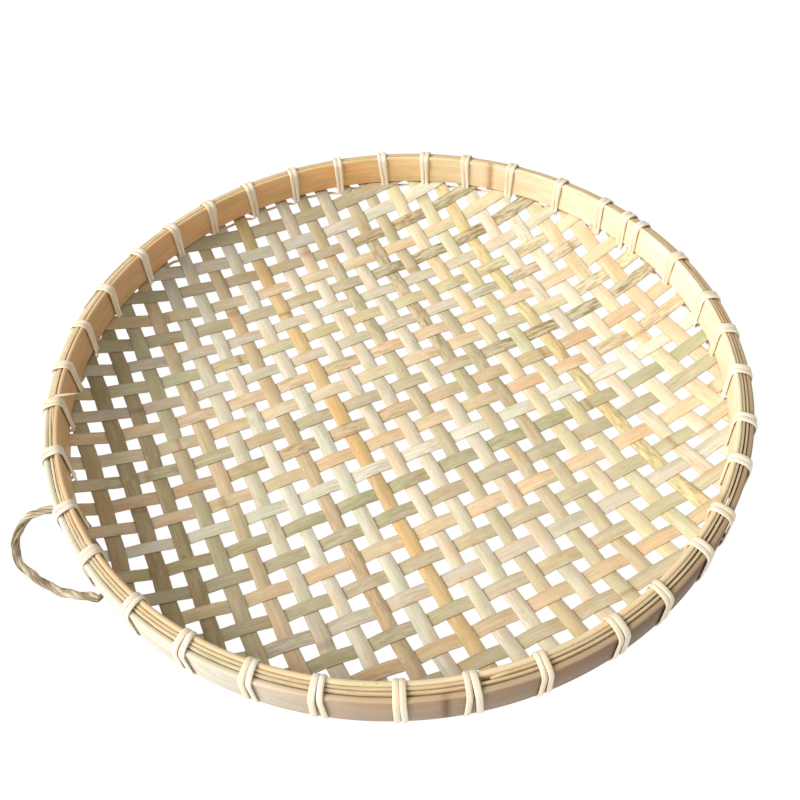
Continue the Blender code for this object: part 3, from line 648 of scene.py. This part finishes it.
def twisted_cord(name, route, tucks, body, node, finish):
    """Strands laid round one another along the route and its tucked ends, with loose fibres."""
    laid = tucks[:1] + drawn_in(route) + tucks[1:]
    frames = carried_frames(laid)
    meshes = [swept_mesh(name, strand_rings(laid, frames, strand), finish, STRIP_POINTS, STRAND_RADIUS * 2)
              for strand in range(STRANDS)]
    meshes += [swept_mesh(name, hair_rings(laid, frames), finish, HAIR_POINTS, STRAND_RADIUS)
               for hair in range(HAIRS)]
    piece = shown_piece(name, meshes, finish, body, "twine", node)
    return piece


def loop_tucks():
    """Where the loop's two ends stop, just short of the hidden stretch."""
    return [on_circle(HINGE_RADIUS - CORD_TUCK, angle, HINGE_HEIGHT - TUCK_DROP)
            for angle in (LOOP_START, LOOP_END - CORD_PULL / HINGE_RADIUS)]


def loop_route():
    start = on_circle(HINGE_RADIUS, LOOP_START, HINGE_HEIGHT)
    end = on_circle(HINGE_RADIUS, LOOP_END, HINGE_HEIGHT)
    points = [start]
    points += [on_circle(HINGE_RADIUS + out * MM, radians(value), height * MM)
               for value, out, height in LOOP_ROUTE]
    points.append(end)
    return smooth_route(points, CORD_STEP)


def root_route():
    """The cord's hidden way in under the rim, between the loop's two ends."""
    under_cane = RIM_BOTTOM - ROOT_DROP
    mouth = HINGE_RADIUS - CORD_RADIUS - HINGE_GAP
    below_hoop = RIM_BOTTOM - CORD_RADIUS - CORD_GAP
    run = RIM_RADIUS - RUN_INSET
    corner = CORD_DIAMETER / run
    points = [on_circle(mouth, LOOP_START, below_hoop),
              on_circle((mouth + run) / 2, LOOP_START + corner / 4, (below_hoop + under_cane) / 2),
              on_circle(run, LOOP_START + 1.5 * corner, under_cane)]
    for share in (0.3, 0.5, 0.7):
        points.append(on_circle(run - CORD_RADIUS, LOOP_START + (LOOP_END - LOOP_START) * share, under_cane))
    points += [on_circle(run, LOOP_END - 1.5 * corner, under_cane),
               on_circle((mouth + run) / 2, LOOP_END - corner / 4, (below_hoop + under_cane) / 2),
               on_circle(mouth, LOOP_END, below_hoop)]
    return smooth_route(points, CORD_STEP)


# Mat

STRAW = "#e5d9c4"
PALE = "#ebe4d2"
BLOND = "#ecdbbb"
GREEN_STRAW = "#dcd6b4"
ROSY = "#ead2b1"
AMBER = "#e2c594"
APRICOT = "#dcc4a2"
YELLOW = "#e8d7a8"
OLIVE = "#c6bf9d"
DULL = "#d3c6a8"
# Darker grey-brown for the leftmost warps: painted shade where the rim shades the left of the mat
SHADED_LEFT_BROWN = "#c0ad8a"
COMMON = (STRAW, STRAW, PALE, BLOND, GREEN_STRAW, ROSY, STRAW, DULL)
# Splints that stand out, by their number from the middle. The leftmost warps, -8 to -11, take darker tones as
# painted shade for the rim's shadow over the left of the mat
WARP_TONES = {-2: AMBER, -4: APRICOT, 7: YELLOW, 3: DULL, -8: DULL, -9: SHADED_LEFT_BROWN, -10: SHADED_LEFT_BROWN, -11: SHADED_LEFT_BROWN}
WEFT_TONES = {-3: OLIVE, 1: DULL, 7: DULL, 0: APRICOT, -1: ROSY, 2: BLOND, 9: DULL, -2: PALE, -5: ROSY,
              -6: DULL, -8: DULL, -9: APRICOT, -10: DULL}
# Where a splint is stained: number, place of the stain's middle, its half length, strength
WARP_STAINS = ((7, -0.10, 0.10, 0.55), (7, 0.10, 0.10, 0.35), (3, 0.09, 0.07, 0.75), (-4, -0.12, 0.06, 0.4),
               (-9, -0.06, 0.10, 0.5), (-10, 0.0, 0.10, 0.5), (4, -0.02, 0.05, 0.4), (1, 0.10, 0.05, 0.35))
WEFT_STAINS = ((1, -0.16, 0.08, 0.85), (7, -0.12, 0.09, 0.9), (9, -0.09, 0.05, 0.8), (0, 0.06, 0.05, 0.6),
               (-3, -0.02, 0.10, 0.35), (3, 0.03, 0.05, 0.4), (2, -0.19, 0.03, 0.6), (1, 0.17, 0.03, 0.5),
               (4, -0.15, 0.05, 0.55), (-1, -0.17, 0.04, 0.5), (5, -0.13, 0.04, 0.6))


class Family:
    """Warp or weft of the mat."""

    def __init__(self, name, angle, pitch, shift, end_radius, bend_height, sign, tones, stains):
        self.name = name
        self.across = on_circle(1, angle, 0)
        self.along = on_circle(1, angle + pi / 2, 0) * sign
        self.pitch = pitch
        self.shift = shift
        self.end_radius = end_radius
        self.bend_height = bend_height
        self.sign = sign
        self.tones = tones
        self.stains = stains
        self.other = None

    def place(self, index):
        return self.shift + self.pitch * index

    def indices(self, reach):
        return range(-floor((reach + self.shift) / self.pitch), floor((reach - self.shift) / self.pitch) + 1)


def dish(spot, lift):
    """A point so far above the mat's middle surface."""
    radius = max(hypot(spot.x, spot.y), MM)
    span = FOOT_RADIUS - FLAT_RADIUS
    share = max(0, radius - FLAT_RADIUS) / span
    height = MAT_MIDDLE + (FOOT_HEIGHT - MAT_MIDDLE) * share ** DISH_POWER
    slope = (FOOT_HEIGHT - MAT_MIDDLE) * DISH_POWER * share ** (DISH_POWER - 1) / span
    away = Vector((-slope * spot.x / radius, -slope * spot.y / radius, 1)).normalized()
    return Vector((spot.x, spot.y, height)) + away * lift


def crossing_lift(family, index, crossing):
    """Over or under by turns. Under the rim every weft end lies over every warp end."""
    centre = hypot(family.place(index), family.other.place(crossing))
    if centre + SPLINT_WIDTH / sqrt(2) > FOOT_RADIUS:
        return -family.sign * WEAVE_LIFT
    over = 1 if (index + crossing) % 2 else -1
    return family.sign * over * WEAVE_LIFT


def weave_lift(family, index, along):
    """Height over the middle surface: level at each crossing, a smooth slope between two."""
    pitch = family.other.pitch
    number = floor((along - family.other.shift) / pitch)
    start = family.other.place(number)
    share = (along - start - CROSSING_FLAT) / (pitch - 2 * CROSSING_FLAT)
    low = crossing_lift(family, index, number)
    high = crossing_lift(family, index, number + 1)
    return low + (high - low) * smoothstep(share)


def wider_here(spot):
    """How much wider a splint is at a place: most behind the middle, least at the front left."""
    x, y = spot.x / FOOT_RADIUS, spot.y / FOOT_RADIUS
    narrow = NARROW_LOSS * exp(-((x - NARROW_PLACE[0]) / NARROW_SIZE[0]) ** 2
                               - ((y - NARROW_PLACE[1]) / NARROW_SIZE[1]) ** 2)
    return (MIDDLE_EXTRA - RIM_LOSS * (x * x + y * y) + RIGHT_EXTRA * x + BACK_EXTRA * y - narrow) * MM


def painted_rim_shade(spot):
    """Share of its brightness that a splint keeps: painted shade, darker beside the rim at the back left
    where the rim shades the mat.
    """
    radius = hypot(spot.x, spot.y)
    facing = (spot.x * cos(RIM_SHADE_AZIMUTH) + spot.y * sin(RIM_SHADE_AZIMUTH)) / max(radius, MM)
    near_rim = smoothstep((radius / FOOT_RADIUS - RIM_SHADE_START) / RIM_SHADE_RAMP)
    return 1 - RIM_SHADE_SHARE * near_rim * smoothstep((facing - RIM_SHADE_FACING) / RIM_SHADE_FACING_RAMP)


def mat_rows(family, index, width, seed):
    """Both edges of a splint's stretch in the mat, ring by ring: square across it, slanting at the foot."""
    middle = family.place(index) + SPLINT_PLAY * dice.uniform(-1, 1)
    lean = SPLINT_LEAN * dice.uniform(-1, 1)
    half = sqrt(FOOT_RADIUS ** 2 - middle ** 2)
    square = sqrt(FOOT_RADIUS ** 2 - (abs(middle) + width / 2 + MM) ** 2) - SLANT_LENGTH
    steps = ceil(2 * half / SPLINT_STEP)
    rows = []
    for step in range(steps + 1):
        reach = half * (2 * step / steps - 1)
        local = width + wider_here(family.across * middle + family.along * reach)
        slant = max(0, abs(reach) - square) / (half - square)
        row = []
        for edge in (-1, 1):
            nominal = middle + edge * local / 2
            foot = sqrt(FOOT_RADIUS ** 2 - nominal ** 2)
            along = reach if slant == 0 else copysign(square + (foot - square) * slant, reach)
            bow = SPLINT_BOW * wander(along / BOW_LENGTH, seed)
            wave = EDGE_WAVE * wander(along / WAVE_LENGTH, seed + edge)
            spot = family.across * (nominal + (bow + wave) * MM + along * lean) + family.along * along
            row.append(dish(spot, weave_lift(family, index, along)))
        rows.append(row)
    return rows


def end_column(family, foot, side):
    """One edge of a splint's end, from the foot of the rim round the bend and up into the slot."""
    across = foot.dot(family.across)
    spot = family.across * across + family.along * side * sqrt(family.end_radius ** 2 - across ** 2)
    corner = Vector((spot.x, spot.y, family.bend_height))
    top = Vector((spot.x, spot.y, TIP_HEIGHT))
    early = foot.lerp(corner, BEND_START)
    late = corner.lerp(top, BEND_END)
    column = [foot.lerp(early, 0.5)]
    for t in (0, 0.25, 0.5, 0.75, 1):
        column.append(early * (1 - t) ** 2 + corner * 2 * t * (1 - t) + late * t * t)
    return column + [late.lerp(top, 0.5), top]


def splint_rows(family, index, width, seed):
    rows = mat_rows(family, index, width, seed)
    first, last = [[list(pair) for pair in zip(*(end_column(family, foot, side) for foot in row))]
                   for side, row in ((-1, rows[0]), (1, rows[-1]))]
    return first[::-1] + rows + last


def splint_rings(family, index, seed):
    width = SPLINT_WIDTH * (1 + SPLINT_UNLIKE * dice.uniform(-1, 1))
    rows = splint_rows(family, index, width, seed)
    middles = [(left + right) / 2 for left, right in rows]
    common = dice.choice(COMMON)
    tone = Vector(srgb(family.tones.get(index, common))[:3]) * dice.uniform(*TONE_RANGE)
    joint_at = dice.uniform(*JOINT_RANGE)
    rings = []
    for (left, right), centre, heading, along in zip(rows, middles, spans(middles), distances(middles)):
        side = (right - left).normalized()
        up = (side.cross(heading) * family.sign).normalized()
        up = (up - side * up.dot(side)).normalized()
        place = centre.dot(family.along) * family.sign
        stain = blotched(0.14, 0.30, 45 * MM, place, seed + 60)
        for splint, middle, reach, strength in family.stains:
            if splint == index:
                stain = max(stain, strength * smoothstep(STAIN_FADE - abs(place - middle) / reach))
        joint = JOINT_SHARE * max(0, 1 - abs(place - joint_at) / SPLINT_JOINT_REACH)
        # Painted shade beside the rim at the back left, times the splint's own slow change of tone
        shade = painted_rim_shade(centre) * varied(0.06, 50 * MM, along, seed + 40)
        thickness = SPLINT_THICKNESS * (1 + JOINT_SWELL * joint)
        rings.append(Ring(centre, side, up, (right - left).length, thickness, along + seed, tone * shade,
                          stain, joint))
    return rings


def weave_mat(finishes):
    warp = Family("warp", WEAVE_ANGLE, WARP_PITCH, WARP_SHIFT, WARP_END_RADIUS,
                  INNER_BOTTOM - BEND_DROP - BEND_LAYER, 1, WARP_TONES, WARP_STAINS)
    weft = Family("weft", WEAVE_ANGLE + pi / 2, WEFT_PITCH, WEFT_SHIFT, WEFT_END_RADIUS,
                  INNER_BOTTOM - BEND_DROP, -1, WEFT_TONES, WEFT_STAINS)
    warp.other, weft.other = weft, warp
    seed = 0
    for family, finish in zip((warp, weft), finishes):
        for number, index in enumerate(family.indices(FOOT_RADIUS - OUTERMOST_INSET), start=1):
            seed += 1
            rings = splint_rings(family, index, seed)
            mesh = swept_mesh(family.name, rings, finish, STRIP_POINTS, SPLINT_ROUNDING, SPLINT_CROWN)
            shown_piece(f"{family.name}_strip_{number:02d}", [mesh], finish, "tray", family.name + "_bamboo",
                        f"{family.name}_splint_{number:02d}")


# Hoops and fillers

# Tones round the rim: azimuth in degrees and the strip's colour there. Partly the bamboo's own hue, partly
# painted light:
# the outer band and the outer filler are near white at the left, where they face the key (painted highlight),
# and the outer band is dark brown at the lower right, turned away from it (painted shade)
OUTER_TONES = ((0, "#a38862"), (45, "#bfa47e"), (110, "#cfb690"), (170, "#f7f1e6"), (205, "#eeece8"),
               (240, "#e2dcd0"), (262, "#b59f8b"), (290, "#94795f"), (312, "#6e5136"), (338, "#73583c"),
               (360, "#a38862"))
INNER_TONES = ((0, "#fdf0da"), (30, "#fbecd4"), (60, "#eedfc4"), (80, "#f2d4a6"), (95, "#f2c288"),
               (150, "#deb48a"), (195, "#d8b186"), (225, "#e2c498"), (270, "#ead8b6"), (315, "#eed5ae"),
               (360, "#fdf0da"))
OUTER_FILLER_TONES = ((0, "#cdb48c"), (130, "#e2d2b2"), (180, "#f0e5cd"), (240, "#e8dbc2"), (270, "#cfb791"),
                      (320, "#cbb594"), (360, "#cdb48c"))
INNER_FILLER_TONES = ((0, "#c6b28e"), (130, "#d2ba90"), (180, "#dcc8a2"), (240, "#e4d2ae"), (270, "#dbc59c"),
                      (320, "#bdb097"), (360, "#c6b28e"))
OUTER_JOINTS = (radians(97), radians(196), radians(273.5), radians(342))
INNER_JOINTS = (radians(66), radians(158), radians(248), radians(325))


def round_the_rim(entries, angle):
    """The entries before and after an azimuth, without their azimuths, and the share of the later one."""
    place = degrees(angle) % 360
    for first, second in zip(entries, entries[1:]):
        if first[0] <= place <= second[0]:
            return first[1:], second[1:], (place - first[0]) / (second[0] - first[0])


def tone_round(tones, angle):
    (first,), (second,), share = round_the_rim(tones, angle)
    return Vector(srgb(first)[:3]).lerp(Vector(srgb(second)[:3]), share)


def lie_round(lies, angle):
    first, second, share = round_the_rim(lies, angle)
    return Vector(first).lerp(Vector(second), share)


def joint_share(angle, radius, joints):
    """1 on a joint of the bamboo, fading out a few millimetres to each side."""
    apart = min(abs((angle - place + pi) % (2 * pi) - pi) for place in joints)
    return max(0, 1 - apart * radius / HOOP_JOINT_REACH)


def band_ring(angle, inside, outside, low, high, along, tone, stain, joint):
    centre = on_circle((inside + outside) / 2, angle, (low + high) / 2)
    return Ring(centre, Vector((0, 0, 1)), on_circle(1, angle, 0), high - low, outside - inside, along, tone,
                stain, joint)


def hoop_rings(inside, thickness, low, high, scarf, joints, tones, seed):
    """A strip bent once round, its two tapered ends lapped with a fine gap between them."""
    outside = inside + thickness
    start, lap_length = scarf
    lap = lap_length / outside
    taper = thickness - 2 * SCARF_TIP - SCARF_GAP
    steps = ceil((2 * pi + lap) * outside / RIM_STEP)
    rings = []
    for step in range(steps + 1):
        turn = (2 * pi + lap) * step / steps
        angle = start + turn
        inner, outer = inside, outside
        if turn < lap:
            outer = inside + SCARF_TIP + taper * turn / lap
        if turn > 2 * pi:
            inner = inside + SCARF_TIP + SCARF_GAP + taper * (turn - 2 * pi) / lap
        along = turn * outside
        rise = 0.3 * MM * wander(along / (70 * MM), seed)
        drop = 0.2 * MM * wander(along / (90 * MM), seed + 3)
        shade = varied(0.08, 80 * MM, along, seed + 9)
        stain = blotched(0.06, 0.25, 100 * MM, along, seed + 14)
        # The tone round the rim carries painted highlight and shade on the outer band as well as the bamboo's
        # hue
        rings.append(band_ring(angle, inner, outer, low + drop, high + rise, along + seed,
                               tone_round(tones, angle) * shade, stain, joint_share(angle, outside, joints)))
    return rings


def filler_rings(hoop_face, way, lies, top, seam, tones, seed):
    """A strip beside one face of a hoop: way is 1 for a strip outside the face and -1 for one inside it."""
    gap = FILLER_END_GAP / hoop_face
    turn_all = 2 * pi - gap
    steps = ceil(turn_all * hoop_face / RIM_STEP)
    rings = []
    for step in range(steps + 1):
        turn = turn_all * step / steps
        angle = seam + gap / 2 + turn
        along = turn * hoop_face
        end = min(turn, turn_all - turn) * hoop_face
        rounded = FILLER_END_DROP * (1 - smoothstep(end / FILLER_END_LENGTH))
        off, thick, sunk = lie_round(lies, angle) * MM
        rise = 0.35 * MM * wander(along / (45 * MM), seed) - rounded - sunk
        near = hoop_face + way * off
        far = near + way * thick * varied(0.06, 35 * MM, along, seed + 2)
        shade = varied(0.10, 80 * MM, along, seed + 9)
        rings.append(band_ring(angle, min(near, far), max(near, far), top - FILLER_HEIGHT, top + rise,
                               along + seed, tone_round(tones, angle) * shade, FILLER_STAIN, 0))
    return rings


def build_rim(hoop_finish, filler_finish):
    outer = hoop_rings(OUTER_INSIDE, OUTER_THICKNESS, RIM_BOTTOM, RIM_TOP, OUTER_SCARF, OUTER_JOINTS,
                       OUTER_TONES, 101)
    inner = hoop_rings(INNER_INSIDE, INNER_THICKNESS, INNER_BOTTOM, INNER_TOP, INNER_SCARF, INNER_JOINTS,
                       INNER_TONES, 141)
    for name, rings in (("outer", outer), ("inner", inner)):
        mesh = swept_mesh(name, rings, hoop_finish, HOOP_POINTS, HOOP_ROUNDING)
        shown_piece(name + "_band", [mesh], hoop_finish, "tray", "hoop_bamboo", name + "_hoop")
    outer = filler_rings(OUTER_INSIDE, -1, OUTER_FILLER_LIE, OUTER_FILLER_TOP, OUTER_FILLER_SEAM,
                         OUTER_FILLER_TONES, 171)
    inner = filler_rings(INNER_OUTSIDE, 1, INNER_FILLER_LIE, INNER_FILLER_TOP, INNER_FILLER_SEAM,
                         INNER_FILLER_TONES, 191)
    for name, rings in (("outer_filler", outer), ("inner_filler", inner)):
        mesh = swept_mesh(name, rings, filler_finish, STRIP_POINTS, FILLER_ROUNDING)
        shown_piece(name + "_strip", [mesh], filler_finish, "tray", "filler_bamboo", name)


# Lashing

def turn_stations(side, lean, spread, width):
    """The bends of one turn: radius, sideways place, height, width, and which way is outward (radial, up)."""
    offset = CANE_GAP + CANE_THICKNESS / 2
    out = RIM_RADIUS + offset
    inward = INNER_INSIDE - offset
    under = RIM_BOTTOM - offset
    beside = (width + TURN_GAP) / 2
    waist = lean + side * (CANE_WAIST + CANE_GAP) / 2
    top_out = RIM_TOP + TIE_TOP_GAP + CANE_THICKNESS / 2
    top_in = INNER_TOP + TIE_TOP_GAP + CANE_THICKNESS / 2
    return [(out, side * (beside + spread), under, width, (1, 0)),
            (out + TIE_BULGE, side * (beside + spread * TOP_SPREAD), top_out, width, (0, 1)),
            (inward - TIE_BULGE, side * beside, top_in, width, (-1, 0)),
            (inward, waist, INNER_BOTTOM - offset, CANE_WAIST, (-1, 0)),
            (inward - PASS_INSET, waist, under - PASS_DROP, CANE_WAIST, (0, -1))]


def rim_point(angle, radius, sideways, height):
    return on_circle(radius, angle, height) + on_circle(sideways, angle + pi / 2, 0)


def cane_stations():
    """Bends of the whole lashing: point, width, and the outward direction of the stretch that follows."""
    stations = []
    angles = [radians(value) for value in TIE_DEGREES]
    run_radius = RIM_RADIUS - RUN_INSET
    under = RIM_BOTTOM - CANE_GAP - CANE_THICKNESS / 2 - RUN_DROP
    down = Vector((0, 0, -1))
    for number, angle in enumerate(angles):
        before = angles[number - 1] - (2 * pi if number == 0 else 0)
        after = angles[(number + 1) % len(angles)] + (2 * pi if number == len(angles) - 1 else 0)
        if (angle - before) * run_radius / 2 > RUN_OFFSET:
            stations.append((rim_point(angle, run_radius, -RUN_OFFSET, under), RUN_WIDTH, down))
        lean = TIE_LEAN * dice.uniform(-1, 1)
        sway = TIE_SWAY * dice.uniform(-1, 1)
        spread = TURN_SPREAD * dice.uniform(*SPREAD_RANGE)
        for side in (-1, 1):
            width = CANE_WIDTH * dice.uniform(*WIDTH_RANGE)
            for radius, sideways, height, wide, (radial, upward) in turn_stations(side, lean, spread, width):
                outward = on_circle(1, angle, 0) * radial + Vector((0, 0, upward))
                stations.append((rim_point(angle, radius, sideways + sway, height), wide, outward))
        if (after - angle) * run_radius / 2 > RUN_OFFSET:
            stations.append((rim_point(angle, run_radius, RUN_OFFSET, under), RUN_WIDTH, down))
        else:
            stations.append((rim_point((angle + after) / 2, run_radius, 0, under), RUN_WIDTH, down))
    return stations


def rounded_stations(stations):
    """The same route with every bend rounded and plain points on the long straights."""
    points = [stations[0]]
    for before, (point, width, outward), ahead in zip(stations, stations[1:], stations[2:]):
        back = min(CANE_BEND, BEND_SHARE * (before[0] - point).length)
        forth = min(CANE_BEND, BEND_SHARE * (ahead[0] - point).length)
        start = point + (before[0] - point).normalized() * back
        end = point + (ahead[0] - point).normalized() * forth
        for t in (0, 0.2, 0.4, 0.6, 0.8, 1):
            place = start * (1 - t) ** 2 + point * 2 * t * (1 - t) + end * t * t
            points.append((place, width, before[2].lerp(outward, t).normalized()))
        left = (ahead[0] - point).length - forth - CANE_BEND
        if left > LONG_STRAIGHT:
            for share in (0.33, 0.67):
                place = end + (ahead[0] - point).normalized() * left * share
                points.append((place, width + (ahead[1] - width) * share, outward))
    return points + [stations[-1]]


def cane_rings(points, seed):
    rings = []
    route = [point for point, width, outward in points]
    for (point, width, outward), span, along in zip(points, spans(route), distances(route)):
        heading = span.normalized()
        side = outward.cross(heading).normalized()
        swell = varied(0.06, 17 * MM, along, seed)
        shade = 0.97 + 0.05 * wander(along / (60 * MM), seed + 3)
        rings.append(Ring(point, side, heading.cross(side), width * swell, CANE_THICKNESS * swell,
                          along + seed, (shade, shade, shade)))
    return rings


def cane_tail():
    """The cane's loose end, which sticks out into the tray beside its last tie."""
    upward = Vector((0, 0, 1))
    points = [(rim_point(TAIL_TIE, INNER_INSIDE - inward * MM, sideways * MM, INNER_TOP + above * MM),
               width * MM, upward) for inward, sideways, above, width in CANE_TAIL]
    rings = cane_rings(points, 77)
    for ring in rings:
        ring.half_thickness = TAIL_FLATNESS * ring.half_width
    return rings


def build_lashing(finish):
    rings = cane_rings(rounded_stations(cane_stations()), 5)
    lashing = swept_mesh("rim_cane", rings, finish, STRIP_POINTS, CANE_ROUNDING)
    tail = swept_mesh("rim_cane", cane_tail(), finish, TAIL_POINTS, CANE_ROUNDING)
    shown_piece("rim_cane", [lashing, tail], finish, "tray", "cane", "rim_lashing")


# Floor and light

def pale_floor():
    """White sheet lit from below, so that it stays white under the tray as in the photograph."""
    finish, tree, shader = new_finish("white_light_table")
    shader.inputs["Base Color"].default_value = srgb("#3c3c3c")
    shader.inputs["Roughness"].default_value = 0.9
    shader.inputs["Emission Color"].default_value = (1, 1, 1, 1)
    shader.inputs["Emission Strength"].default_value = FLOOR_GLOW
    form = bmesh.new()
    bmesh.ops.create_grid(form, x_segments=1, y_segments=1, size=FLOOR_SIZE)
    mesh = bpy.data.meshes.new("floor")
    form.to_mesh(mesh)
    form.free()
    mesh.materials.append(finish)
    floor_sheet = in_scene("floor", mesh)


def studio():
    """One wide soft light from the left and an even pale fill."""
    world = bpy.data.worlds.new("pale_studio")
    world.use_nodes = True
    sky = world.node_tree.nodes["Background"]
    sky.inputs["Color"].default_value = (1, 1, 1, 1)
    sky.inputs["Strength"].default_value = FILL_STRENGTH
    bpy.context.scene.world = world
    data = bpy.data.lights.new("window", "SUN")
    data.energy = KEY_STRENGTH
    data.angle = KEY_SPREAD
    data.color = KEY_COLOUR
    light = in_scene("window", data)
    toward = on_circle(cos(KEY_ELEVATION), KEY_AZIMUTH, sin(KEY_ELEVATION))
    light.rotation_euler = (-toward).to_track_quat("-Z", "Y").to_euler()
    bpy.context.scene.view_settings.view_transform = "Standard"


SWEEP = sweep_tree()
place_camera()
twine = plant_twine()
twisted_cord("cord_loop", loop_route(), loop_tucks(), "loop", "hanging_loop", twine)
twisted_cord("cord_root", root_route(), [], "tray", "loop_root", twine)

# Fibre width, colours of the mottles and the edges, the edge tint's share and start, roughness, relief.
# The dark edge colour of the mat's splints is painted shade round the holes
warp_finish, weft_finish, hoop_finish, filler_finish = [split_bamboo(*values) for values in (
    ("split_bamboo_warp", 0.6 * MM, "#94805a", "#8f7a52", 0.45, 0.92, 0.58, 0.10 * MM),
    ("split_bamboo_weft", 0.6 * MM, "#8a7755", "#8f7a52", 0.45, 0.92, 0.60, 0.10 * MM),
    ("bent_bamboo_hoop", 0.8 * MM, "#b8946a", "#f2dab2", 0.30, 0.88, 0.50, 0.14 * MM),
    ("split_bamboo_filler", 0.7 * MM, "#9a7c58", "#e0cda8", 0.3, 0.90, 0.65, 0.14 * MM))]
weave_mat((warp_finish, weft_finish))
build_rim(hoop_finish, filler_finish)
build_lashing(peeled_cane())
pale_floor()
studio()
